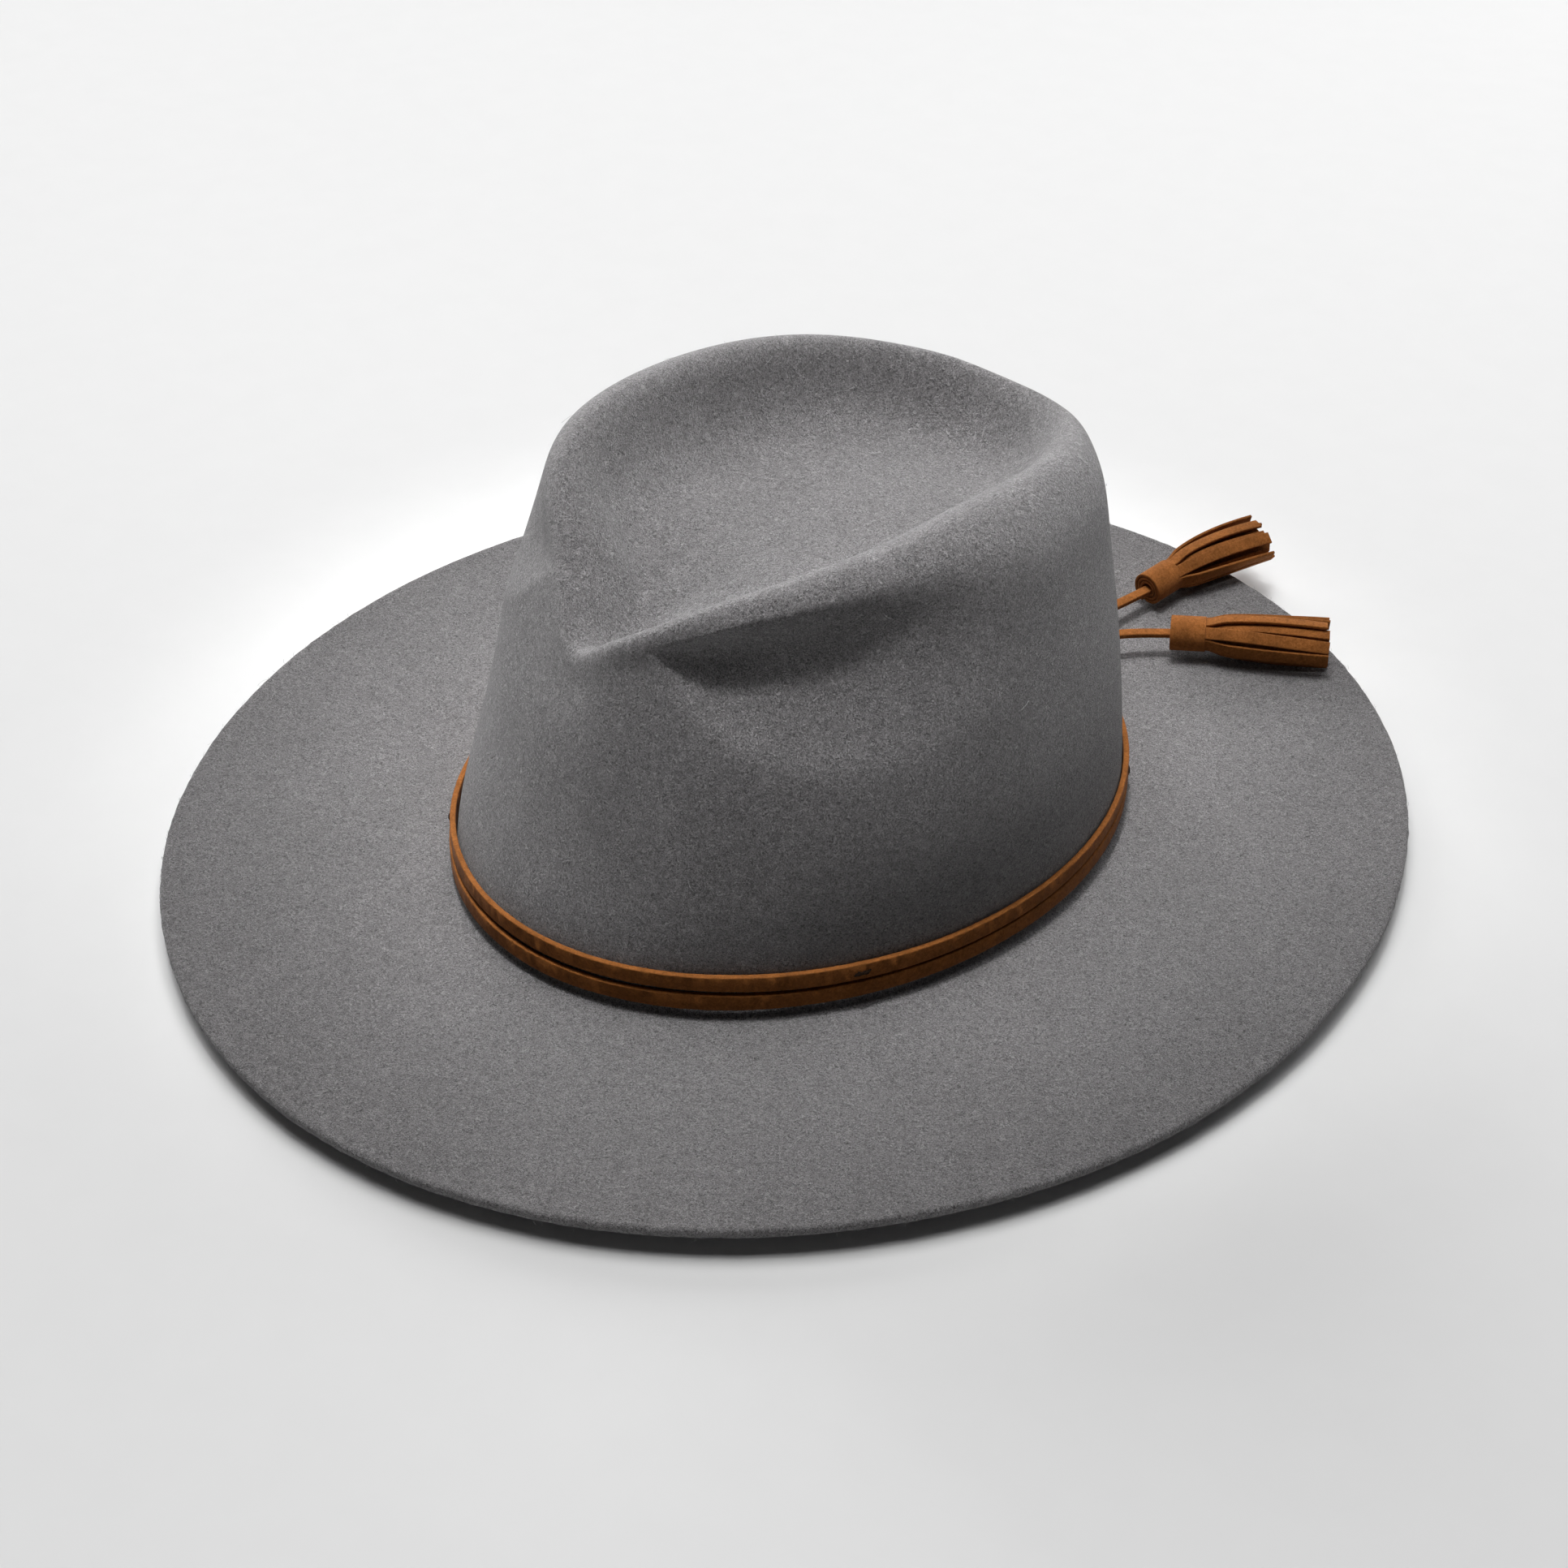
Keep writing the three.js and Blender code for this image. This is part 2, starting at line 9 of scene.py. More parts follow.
import bpy
import numpy as np
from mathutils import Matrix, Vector


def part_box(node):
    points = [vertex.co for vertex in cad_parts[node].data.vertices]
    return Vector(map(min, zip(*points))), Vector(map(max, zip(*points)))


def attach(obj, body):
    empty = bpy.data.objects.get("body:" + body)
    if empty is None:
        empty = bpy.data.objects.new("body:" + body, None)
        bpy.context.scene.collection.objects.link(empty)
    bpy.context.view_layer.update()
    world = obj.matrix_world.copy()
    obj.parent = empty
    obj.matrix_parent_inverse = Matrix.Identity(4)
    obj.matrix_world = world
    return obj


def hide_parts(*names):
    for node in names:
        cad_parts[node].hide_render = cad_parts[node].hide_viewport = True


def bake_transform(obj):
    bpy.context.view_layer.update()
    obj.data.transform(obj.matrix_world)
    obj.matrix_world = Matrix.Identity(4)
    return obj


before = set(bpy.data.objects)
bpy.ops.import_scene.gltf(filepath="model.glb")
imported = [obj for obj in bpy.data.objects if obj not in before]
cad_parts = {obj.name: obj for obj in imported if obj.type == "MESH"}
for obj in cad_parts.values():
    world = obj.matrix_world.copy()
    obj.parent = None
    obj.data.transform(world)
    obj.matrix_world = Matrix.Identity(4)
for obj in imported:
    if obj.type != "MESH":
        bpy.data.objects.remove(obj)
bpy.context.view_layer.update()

MM = 0.001
FIBRE_SEED = 20


def box_mm(node):
    low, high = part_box(node)
    return np.array(low) / MM, np.array(high) / MM


# ---------------------------------------------------------------- driving sizes

FELT_HIGH = box_mm("felt_body")[1]
LOWER_LOW = box_mm("band_lace_lower")[0]
UPPER_LOW, UPPER_HIGH = box_mm("band_lace_upper")
KNOT_LOW, KNOT_HIGH = box_mm("band_knot")
SWEAT_LOW, SWEAT_HIGH = box_mm("sweatband")

BRIM_HALF_LENGTH = FELT_HIGH[1]
BRIM_HALF_WIDTH = FELT_HIGH[0]
FELT = 2.8
BRIM_RISE = 5.4
REST_RING = 0.13
RISE_POWER = 1.35
EDGE_ROUND = 0.6
BASE_HALF_LENGTH = 105
BASE_HALF_WIDTH = 86.6
BREAK_RADIUS = 3.2
WALL_FOOT = FELT + BREAK_RADIUS

RIDGE_HEIGHT = 113
FRONT_DROP = 8.5
END_DROP = 9.8
NEAR_EAR = (5, 0.75, 0.4)
FAR_EAR = (11.5, 0.92, 0.52)
TIP_DIP = 6.5
TIP_SPREAD = 0.2
FRONT_CUT = 8
FRONT_CUT_SPREAD = 0.55
PROW_PINCH = 0.27
PROW_ANGLE = 0.38
PROW_SPREAD = 0.27
FAR_PROW = 0.3
FAR_PRESS = (0.47, 0.38)
NEAR_PRESS = (1.02, 0.48)
DENT_DEPTH = 7.5
FAR_DENT_DEPTH = 3
DENT_FOOT = 74
DENT_FRONT_RISE = 75
DENT_REAR_RISE = 28
DENT_MIDDLE = 1.05
DENT_START = 0.42
DENT_END = 1.85
DENT_SOFTNESS = 0.05
DENT_PEAK = 0.4195
CREASE_STATION = 0.56
CREASE_TURN = 0.04
TEARDROP = 0.07
SHOULDER_HEIGHT = 68
HOLLOW_DEPTH = 14
FLOOR_TILT = 1.6

FELT_AROUND = 420
CROWN_ROWS = 190

LACE_WIDTH = UPPER_HIGH[2] - UPPER_LOW[2]
LACE_THICKNESS = 1.7
CLEARANCE = 0.35
LACE_OUTSET = CLEARANCE + LACE_THICKNESS

SWEATBAND_GAP = 0.9
SWEATBAND_THICKNESS = 1.4
SWEATBAND_INNER = -(FELT + SWEATBAND_GAP + SWEATBAND_THICKNESS)
REED_OUTSET = -2
TAPE_THICKNESS = 0.8
LABEL_THICKNESS = 0.4

TAIL_WIDTH = 3.2
TAIL_THICKNESS = 1.7
ROUTE_A = [[-15, 110.4, 12.4], [-15.4, 118, 12.3], [-15.8, 130, 12.0], [-16.4, 143, 11.8], [-16.9, 156, 12]]
ROUTE_B = [[-9, 110.4, 12.4], [-7.7, 117, 12.3], [-5, 126, 12], [-0.6, 135.5, 11.8], [6.5, 144.9, 12]]
TASSEL_LENGTH = 51
STRIP_CLEAR = 0.75


# ---------------------------------------------------------------- camera

LENS = 61.2
SENSOR = 36
SHIFT = (-0.0065, 0.009)
CAMERA_TURN = math.radians(54.2)
CAMERA_RISE = math.radians(37.5)
CAMERA_DISTANCE = 0.8
CAMERA_TARGET = Vector((0, 0, 0.006))
VIEW_END = 50


def make_camera():
    """The camera, turned from the hat's front toward the wearer's left; its distances are in metres."""
    data = bpy.data.cameras.new("camera")
    data.lens = LENS
    data.sensor_width = SENSOR
    data.shift_x, data.shift_y = SHIFT
    data.clip_end = VIEW_END
    camera = bpy.data.objects.new("camera", data)
    bpy.context.scene.collection.objects.link(camera)
    level = math.cos(CAMERA_RISE)
    back = Vector((math.sin(CAMERA_TURN) * level, -math.cos(CAMERA_TURN) * level, math.sin(CAMERA_RISE)))
    camera.location = CAMERA_TARGET + back * CAMERA_DISTANCE
    camera.rotation_euler = back.to_track_quat("Z", "Y").to_euler()
    bpy.context.scene.camera = camera


# ---------------------------------------------------------------- mesh helpers

def unit(vectors):
    return vectors / np.linalg.norm(vectors, axis=-1, keepdims=True)


def make_object(name, points, faces, material, smooth_angle=40):
    """A smooth-shaded object from points in millimetres."""
    mesh = bpy.data.meshes.new(name)
    mesh.from_pydata((np.asarray(points) * MM).tolist(), [], faces)
    mesh.validate()
    mesh.shade_smooth()
    mesh.set_sharp_from_angle(angle=math.radians(smooth_angle))
    mesh.materials.append(material)
    piece = bpy.data.objects.new(name, mesh)
    bpy.context.scene.collection.objects.link(piece)
    return piece


def grid_faces(rows, columns, offset=0, wrap_rows=False):
    """Quads of a grid whose columns close on themselves."""
    faces = []
    for r in range(rows if wrap_rows else rows - 1):
        low = offset + r * columns
        high = offset + ((r + 1) % rows) * columns
        for c in range(columns):
            d = (c + 1) % columns
            faces.append((low + c, low + d, high + d, high + c))
    return faces


def pod(rows, start=None, end=None):
    """Points and faces of rows closed by a fan at each end."""
    rows = np.asarray(rows)
    count, columns = rows.shape[:2]
    start = rows[0].mean(0) if start is None else start
    end = rows[-1].mean(0) if end is None else end
    points = np.vstack([rows.reshape(-1, 3), [start], [end]])
    faces = grid_faces(count, columns)
    first = count * columns
    last_row = (count - 1) * columns
    for c in range(columns):
        d = (c + 1) % columns
        faces.append((first, d, c))
        faces.append((first + 1, last_row + c, last_row + d))
    return points, faces


def hoop(rows):
    """Points and faces of rows that close on themselves both ways."""
    rows = np.asarray(rows)
    count, columns = rows.shape[:2]
    return rows.reshape(-1, 3), grid_faces(count, columns, wrap_rows=True)


def join(parts):
    """One point list and face list from several."""
    points, faces, offset = [], [], 0
    for part_points, part_faces in parts:
        points.append(np.asarray(part_points))
        faces += [tuple(i + offset for i in face) for face in part_faces]
        offset += len(part_points)
    return np.vstack(points), faces


def rounded_section(width, thickness, corner, steps=3):
    """A flat strip's section with round corners: distances along its width and its thickness."""
    points = []
    for quarter in range(4):
        sign_a = 1 if quarter in (0, 3) else -1
        sign_b = 1 if quarter in (0, 1) else -1
        for i in range(steps + 1):
            turn = math.pi / 2 * (quarter + i / steps)
            a = sign_a * (width / 2 - corner) + corner * math.cos(turn)
            b = sign_b * (thickness / 2 - corner) + corner * math.sin(turn)
            points.append((a, b))
    return np.array(points)


def sweep(centres, across, through, section):
    """Rows of points: a section carried along centres, its width along across and thickness along through.

    The section is either one for the whole sweep or one for each centre.
    """
    a = section[..., 0, None] * across[:, None, :]
    b = section[..., 1, None] * through[:, None, :]
    return centres[:, None, :] + a + b


def smooth_noise(seed, *axes):
    """Smooth waves between about -1 and 1 over the given coordinate arrays."""
    waves = np.random.default_rng(seed)
    total = 0
    for _ in range(7):
        phase = waves.uniform(0, 2 * np.pi)
        for values in axes:
            phase = phase + waves.normal(0, 1) * values
        total = total + np.sin(phase)
    return total / 3.2


# ---------------------------------------------------------------- crown surface

def lobe(distance, spread):
    return np.exp(-((distance / spread) ** 2))


def smoothstep(value):
    value = np.clip(value, 0, 1)
    return value * value * (3 - 2 * value)


def signed_angle(theta):
    return np.arctan2(np.sin(theta), np.cos(theta))


def left_share(theta):
    """1 on the wearer's left, 0 on the right, turning over smoothly at the front and the back."""
    return 0.5 + 0.5 * np.tanh(np.sin(theta) / 0.15)


def by_side(theta, left, right):
    share = left_share(theta)
    return share * left + (1 - share) * right


def oval(theta, half_length, half_width, shift, height, narrow=1.0):
    x = half_width * np.sin(theta) * narrow
    y = shift - half_length * np.cos(theta)
    return np.stack([x, y, height + 0 * theta], -1)


def ridge_height(theta):
    """Height of the ring that shapes the ridge: low at the front tip, with an ear on each side behind it."""
    turn = signed_angle(theta)
    ends = FRONT_DROP * np.cos(theta) + END_DROP * np.cos(2 * theta)
    near, far = (rise * lobe(np.abs(turn) - angle, spread) for rise, angle, spread in (NEAR_EAR, FAR_EAR))
    return RIDGE_HEIGHT - ends + by_side(theta, near, far) - TIP_DIP * lobe(turn, TIP_SPREAD)


def press_share(theta, near, far):
    """How far the crown is pressed in: near on the wearer's left, far on the right front."""
    turn = signed_angle(theta)
    near_angle, near_spread = NEAR_PRESS
    far_angle, far_spread = FAR_PRESS
    share = left_share(theta)
    near_part = near * share * lobe(turn - near_angle, near_spread)
    return near_part + far * (1 - share) * lobe(turn + far_angle, far_spread)


def creased(theta, half_length, half_width, shift, height, narrow, cut, press):
    """An oval with its front set back and its sides pressed in, all turned a little round the crown."""
    points = oval(theta, half_length, half_width, shift, height, narrow)
    points[..., 1] += cut * FRONT_CUT * lobe(signed_angle(theta), FRONT_CUT_SPREAD)
    inward = press_share(theta, *press)
    points[..., 0] -= inward * np.sin(theta)
    points[..., 1] += inward * np.cos(theta)
    x, y = points[..., 0].copy(), points[..., 1].copy()
    points[..., 0] = x * math.cos(CREASE_TURN) - y * math.sin(CREASE_TURN)
    points[..., 1] = x * math.sin(CREASE_TURN) + y * math.cos(CREASE_TURN)
    return points


def crown_controls(theta):
    """The CAD's control rings, each one point for every angle."""
    ridge = ridge_height(theta)
    drop = 1 - TEARDROP * np.cos(theta)
    floor = RIDGE_HEIGHT - HOLLOW_DEPTH
    prow = lobe(np.abs(signed_angle(theta)) - PROW_ANGLE, PROW_SPREAD)
    pinch = PROW_PINCH * by_side(theta, 1.0, FAR_PROW) * prow
    pinch_height = 0.35 * SHOULDER_HEIGHT + 0.65 * (ridge - 6)

    def top(half_length, near_width, far_width, shift, height, narrow, cut, press):
        half_width = by_side(theta, near_width, far_width)
        return creased(theta, half_length, half_width, shift, height, narrow, cut, press)

    return np.stack([
        oval(theta, BASE_HALF_LENGTH, BASE_HALF_WIDTH, 0, WALL_FOOT),
        oval(theta, BASE_HALF_LENGTH, BASE_HALF_WIDTH, 0, WALL_FOOT + 12),
        top(98.7, 87.2, 87.2, 3.4, 40, 1, 0.4, (0, 0)),
        top(95.6, 82.3, 82.3, 4.3, SHOULDER_HEIGHT, 1 - 0.5 * pinch, 0.85, (1, 2)),
        top(94, 76, 76, 2.7, pinch_height, 1 - pinch, 1.4, (8, 6)),
        top(87, 72, 71, 6.2, ridge - 4, (0.5 + 0.5 * drop) * (1 - 0.55 * pinch), 0.45, (5.5, 5.5)),
        top(86.5, 58, 59, 3, ridge + by_side(theta, 5.5, 3), drop, 1, (2, 7.5)),
        top(80, 46, 54, 4, ridge + by_side(theta, 0.5, -1), drop, 1.2, (1, 12)),
        top(73, 37, 50, 4, ridge - 14 + 8 * lobe(signed_angle(theta), 0.5), drop, 1.4, (0, 14)),
        top(60, 29, 39, 4, 0.25 * ridge + 0.75 * RIDGE_HEIGHT - 18, drop, 0.8, (0, 6)),
        top(27, 14, 17, 6, floor - FLOOR_TILT * np.cos(theta), drop, 0, (0, 0)),
        oval(theta, 0, 0, 8, floor),
    ])


def dent_depth(theta, height, stations):
    """How far the pinch presses the wall in, from a crisp foot to deepest a little over halfway up."""
    side = np.abs(signed_angle(theta - CREASE_TURN))
    rise = np.where(side < DENT_MIDDLE, DENT_FRONT_RISE, DENT_REAR_RISE)
    foot = DENT_FOOT + rise * (side - DENT_MIDDLE) ** 2
    top = ridge_height(theta)
    part = (height - foot) / np.maximum(top - foot, 1)
    soft = np.clip(0.5 * (part + np.sqrt(part**2 + DENT_SOFTNESS**2)), 0, 1)
    profile = np.where(stations < CREASE_STATION, soft * (1 - soft**3) ** 1.5 / DENT_PEAK, 0)
    ends = smoothstep((side - DENT_START) / 0.3) * smoothstep((DENT_END - side) / 0.9)
    return by_side(theta, DENT_DEPTH, FAR_DENT_DEPTH) * profile * ends


def spline_weights(count, stations, degree=3):
    """Clamped uniform B-spline weights: one row for each station between 0 and 1."""
    spans = count - degree
    knots = np.clip((np.arange(count + degree + 1) - degree) / spans, 0, 1)
    stations = np.minimum(np.asarray(stations, float), 1 - 1e-9)
    weights = ((stations[:, None] >= knots[:-1]) & (stations[:, None] < knots[1:])).astype(float)
    for d in range(1, degree + 1):
        raised = np.zeros((len(stations), count + degree - d))
        for i in range(count + degree - d):
            rise = knots[i + d] - knots[i]
            fall = knots[i + d + 1] - knots[i + 1]
            if rise > 0:
                raised[:, i] += (stations - knots[i]) / rise * weights[:, i]
            if fall > 0:
                raised[:, i] += (knots[i + d + 1] - stations) / fall * weights[:, i + 1]
        weights = raised
    return weights


def crown_surface(theta, stations):
    controls = crown_controls(theta)
    stations = np.asarray(stations, float)
    points = np.einsum("sk,kac->sac", spline_weights(len(controls), stations), controls)
    inward = unit(np.stack([-np.sin(theta) / 0.9, np.cos(theta) / 1.1, 0 * theta], -1))
    return points + inward * dent_depth(theta, points[..., 2], stations[:, None])[..., None]


def crown_normals(theta, stations):
    step = 1e-3
    around = crown_surface(theta + step, stations) - crown_surface(theta - step, stations)
    low = np.maximum(np.asarray(stations) - step, 0)
    high = np.minimum(np.asarray(stations) + step, 1)
    upward = crown_surface(theta, high) - crown_surface(theta, low)
    return unit(np.cross(around, upward))


CONTROL_RINGS = 12
WALL_STATIONS = np.linspace(0, 1 / 9, 400)
WALL_HEIGHTS = crown_surface(np.zeros(1), WALL_STATIONS)[:, 0, 2]


def wall_points(theta, height, outset):
    """Points beside the lower wall: at each angle, a height and a level distance outside the felt."""
    theta, height, outset = np.broadcast_arrays(theta, height, outset)
    weights = spline_weights(CONTROL_RINGS, np.interp(height, WALL_HEIGHTS, WALL_STATIONS))

    def level(turn):
        return np.einsum("nk,knc->nc", weights, crown_controls(turn))

    side = level(theta + 1e-3) - level(theta - 1e-3)
    outward = unit(np.stack([side[:, 1], -side[:, 0], 0 * side[:, 0]], -1))
    points = level(theta) + outward * outset[:, None]
    points[:, 2] = height
    return points, outward


def wall_strip(theta, height, outset, width, thickness, corner, lean=0.0, steps=3):
    """Rows of a strip that runs round the wall; its width stands up and its thickness faces out."""
    centres, outward = wall_points(theta, height, outset)
    lean = np.broadcast_to(lean, np.shape(theta))[:, None]
    up = np.array([0.0, 0.0, 1.0])
    across = up * np.cos(lean) + outward * np.sin(lean)
    through = outward * np.cos(lean) - up * np.sin(lean)
    return sweep(centres, across, through, rounded_section(width, thickness, corner, steps))


def brim_lift(t):
    return BRIM_RISE * np.maximum((t - REST_RING) / (1 - REST_RING), 0) ** RISE_POWER


def brim_top(x, y):
    """Height of the brim's upper face under a point."""
    bearing = np.hypot(x / BRIM_HALF_WIDTH, y / BRIM_HALF_LENGTH)
    lengthwise = (y / BRIM_HALF_LENGTH) ** 2 / np.maximum(bearing**2, 1e-9)
    across_start = (BASE_HALF_WIDTH + BREAK_RADIUS) / BRIM_HALF_WIDTH
    along_start = (BASE_HALF_LENGTH + BREAK_RADIUS) / BRIM_HALF_LENGTH
    start = across_start + (along_start - across_start) * lengthwise
    return FELT + brim_lift(np.clip((bearing - start) / (1 - start), 0, 1))


# ---------------------------------------------------------------- materials

def new_material(name):
    material = bpy.data.materials.new(name)
    material.use_nodes = True
    tree = material.node_tree
    return material, tree, tree.nodes["Principled BSDF"]


def object_noise(tree, scale, detail=3.0, roughness=0.55, distortion=0.0):
    coordinates = tree.nodes.new("ShaderNodeTexCoord")
    noise = tree.nodes.new("ShaderNodeTexNoise")
    noise.inputs["Scale"].default_value = scale
    noise.inputs["Detail"].default_value = detail
    noise.inputs["Roughness"].default_value = roughness
    noise.inputs["Distortion"].default_value = distortion
    tree.links.new(coordinates.outputs["Object"], noise.inputs["Vector"])
    return noise.outputs["Fac"]


def ramp(tree, value, stops):
    node = tree.nodes.new("ShaderNodeValToRGB")
    elements = node.color_ramp.elements
    for element, (place, color) in zip(elements, (stops[0], stops[-1])):
        element.position = place
        element.color = (*color, 1)
    for place, color in stops[1:-1]:
        element = elements.new(place)
        element.color = (*color, 1)
    tree.links.new(value, node.inputs["Fac"])
    return node.outputs["Color"]


def multiply(tree, first, second):
    node = tree.nodes.new("ShaderNodeMix")
    node.data_type = "RGBA"
    node.blend_type = "MULTIPLY"
    node.inputs["Factor"].default_value = 1
    tree.links.new(first, node.inputs["A"])
    tree.links.new(second, node.inputs["B"])
    return node.outputs["Result"]


def add_bump(tree, shader, layers):
    """Bumps laid one over another: (height value, strength, distance in metres)."""
    last = None
    for height, strength, distance in layers:
        bump = tree.nodes.new("ShaderNodeBump")
        bump.inputs["Strength"].default_value = strength
        bump.inputs["Distance"].default_value = distance
        tree.links.new(height, bump.inputs["Height"])
        if last is not None:
            tree.links.new(last, bump.inputs["Normal"])
        last = bump.outputs["Normal"]
    tree.links.new(last, shader.inputs["Normal"])


def grey(value):
    return (value, value, value)


def felt_grey(value):
    """Grey with the felt's faint warm tint."""
    return (value * 1.025, value * 0.985, value)


def felt_material():
    material, tree, shader = new_material("wool_felt")
    fibres = object_noise(tree, 950, detail=3, roughness=0.65, distortion=3.0)
    lumps = object_noise(tree, 420, detail=2, roughness=0.6, distortion=2.0)
    clouds = object_noise(tree, 28, detail=2)
    speckle = ramp(tree, fibres, [(0.38, felt_grey(0.085)), (0.5, felt_grey(0.2)), (0.62, felt_grey(0.36))])
    mottle = ramp(tree, lumps, [(0.32, grey(0.8)), (0.68, grey(1.2))])
    drift = ramp(tree, clouds, [(0.3, grey(0.95)), (0.7, grey(1.05))])
    color = multiply(tree, multiply(tree, speckle, mottle), drift)
    tree.links.new(color, shader.inputs["Base Color"])
    shader.inputs["Roughness"].default_value = 0.95
    shader.inputs["Specular IOR Level"].default_value = 0.2
    shader.inputs["Sheen Weight"].default_value = 0.3
    shader.inputs["Sheen Roughness"].default_value = 0.4
    add_bump(tree, shader, [(lumps, 0.8, 0.0007), (fibres, 1.0, 0.0008)])
    return material


def suede_material():
    material, tree, shader = new_material("suede")
    nap = object_noise(tree, 900, detail=4, roughness=0.7, distortion=1.2)
    patches = object_noise(tree, 130, detail=2)
    base = ramp(tree, nap, [(0.25, (0.13, 0.043, 0.009)), (0.75, (0.35, 0.13, 0.034))])
    color = multiply(tree, base, ramp(tree, patches, [(0.3, grey(0.85)), (0.7, grey(1.15))]))
    tree.links.new(color, shader.inputs["Base Color"])
    shader.inputs["Roughness"].default_value = 0.9
    shader.inputs["Specular IOR Level"].default_value = 0.1
    shader.inputs["Sheen Weight"].default_value = 0.04
    shader.inputs["Sheen Roughness"].default_value = 0.4
    add_bump(tree, shader, [(nap, 0.5, 0.00025)])
    return material


def leather_material():
    material, tree, shader = new_material("hat_leather")
    grain = object_noise(tree, 700, detail=3, roughness=0.6)
    color = ramp(tree, grain, [(0.3, (0.05, 0.026, 0.013)), (0.7, (0.1, 0.055, 0.03))])
    tree.links.new(color, shader.inputs["Base Color"])
    shader.inputs["Roughness"].default_value = 0.55
    add_bump(tree, shader, [(grain, 0.35, 0.0002)])
    return material


def ribbon_material():
    """A ribbon whose ribs run up and down the wall."""
    material, tree, shader = new_material("grosgrain")
    coordinates = tree.nodes.new("ShaderNodeTexCoord")
    wave = tree.nodes.new("ShaderNodeTexWave")
    wave.bands_direction = "X"
    wave.inputs["Scale"].default_value = 45
    tree.links.new(coordinates.outputs["Object"], wave.inputs["Vector"])
    fibres = object_noise(tree, 1800)
    color = ramp(tree, fibres, [(0.3, (0.03, 0.028, 0.029)), (0.7, (0.06, 0.056, 0.058))])
    tree.links.new(color, shader.inputs["Base Color"])
    shader.inputs["Roughness"].default_value = 0.6
    shader.inputs["Sheen Weight"].default_value = 0.2
    add_bump(tree, shader, [(wave.outputs["Fac"], 0.6, 0.0002), (fibres, 0.2, 0.0001)])
    return material


def thread_material():
    material, tree, shader = new_material("thread")
    fibres = object_noise(tree, 4000)
    color = ramp(tree, fibres, [(0.3, (0.008, 0.004, 0.002)), (0.7, (0.022, 0.012, 0.007))])
    tree.links.new(color, shader.inputs["Base Color"])
    shader.inputs["Roughness"].default_value = 0.9
    shader.inputs["Specular IOR Level"].default_value = 0.1
    add_bump(tree, shader, [(fibres, 0.4, 0.0001)])
    return material


def fibre_material():
    material, tree, shader = new_material("loose_wool")
    shade = object_noise(tree, 200)
    tree.links.new(ramp(tree, shade, [(0.3, grey(0.3)), (0.7, grey(0.55))]), shader.inputs["Base Color"])
    shader.inputs["Roughness"].default_value = 0.7
    return material


def label_material():
    material, tree, shader = new_material("woven_label")
    weave = object_noise(tree, 3000, detail=2)
    color = ramp(tree, weave, [(0.3, (0.66, 0.62, 0.53)), (0.7, (0.8, 0.77, 0.68))])
    tree.links.new(color, shader.inputs["Base Color"])
    shader.inputs["Roughness"].default_value = 0.85
    add_bump(tree, shader, [(weave, 0.3, 0.0001)])
    return material


def floor_material():
    material, tree, shader = new_material("floor")
    paper = object_noise(tree, 60, detail=2)
    color = ramp(tree, paper, [(0.3, grey(0.825)), (0.7, grey(0.835))])
    tree.links.new(color, shader.inputs["Base Color"])
    shader.inputs["Roughness"].default_value = 0.9
    shader.inputs["Specular IOR Level"].default_value = 0.1
    return material


FELT_LOOK = felt_material()
SUEDE_LOOK = suede_material()
LEATHER_LOOK = leather_material()
RIBBON_LOOK = ribbon_material()
THREAD_LOOK = thread_material()
FIBRE_LOOK = fibre_material()
LABEL_LOOK = label_material()


def settle(piece, body, slot, *nodes):
    """The piece rides on its body and stands for its CAD nodes, which it hides; the slot is not used."""
    if nodes:
        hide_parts(*nodes)
    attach(piece, body)
    return piece


# ---------------------------------------------------------------- lace tails (made first)

def catmull_rom(points, per_span=6):
    """A smooth curve through all the points."""
    points = np.asarray(points, float)
    padded = np.vstack([2 * points[0] - points[1], points, 2 * points[-1] - points[-2]])
    out = []
    for i in range(1, len(padded) - 2):
        p0, p1, p2, p3 = padded[i - 1:i + 3]
        for t in np.arange(per_span) / per_span:
            out.append(0.5 * (2 * p1 + (p2 - p0) * t + (2 * p0 - 5 * p1 + 4 * p2 - p3) * t**2
                              + (3 * p1 - p0 - 3 * p2 + p3) * t**3))
    out.append(padded[-2])
    return np.array(out)


def tail_rows(path, tilt_start, tilt_end):
    """A flat lace along a path, turned a little about its own line as it goes."""
    along = unit(np.gradient(path, axis=0))
    level = unit(np.cross(along, [0, 0, 1]))
    upright = np.cross(level, along)
    tilt = np.linspace(tilt_start, tilt_end, len(path))[:, None]
    across = level * np.cos(tilt) + upright * np.sin(tilt)
    through = upright * np.cos(tilt) - level * np.sin(tilt)
    return sweep(path, across, through, rounded_section(TAIL_WIDTH, TAIL_THICKNESS, 0.35))


def make_tail(side, route, tilts):
    """One lace tail, which runs on a little way inside its tassel's cap, and its path."""
    path = catmull_rom(route)
    heading = unit(path[-1] - path[-2])
    path = np.vstack([path, path[-1] + heading * 1.5, path[-1] + heading * 3.0])
    points, faces = pod(tail_rows(path, *tilts))
    tail = make_object(f"lace_tail_{side}", points, faces, SUEDE_LOOK)
    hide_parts(f"tassel_cord_{side}")
    return tail, path


# ---------------------------------------------------------------- tassels

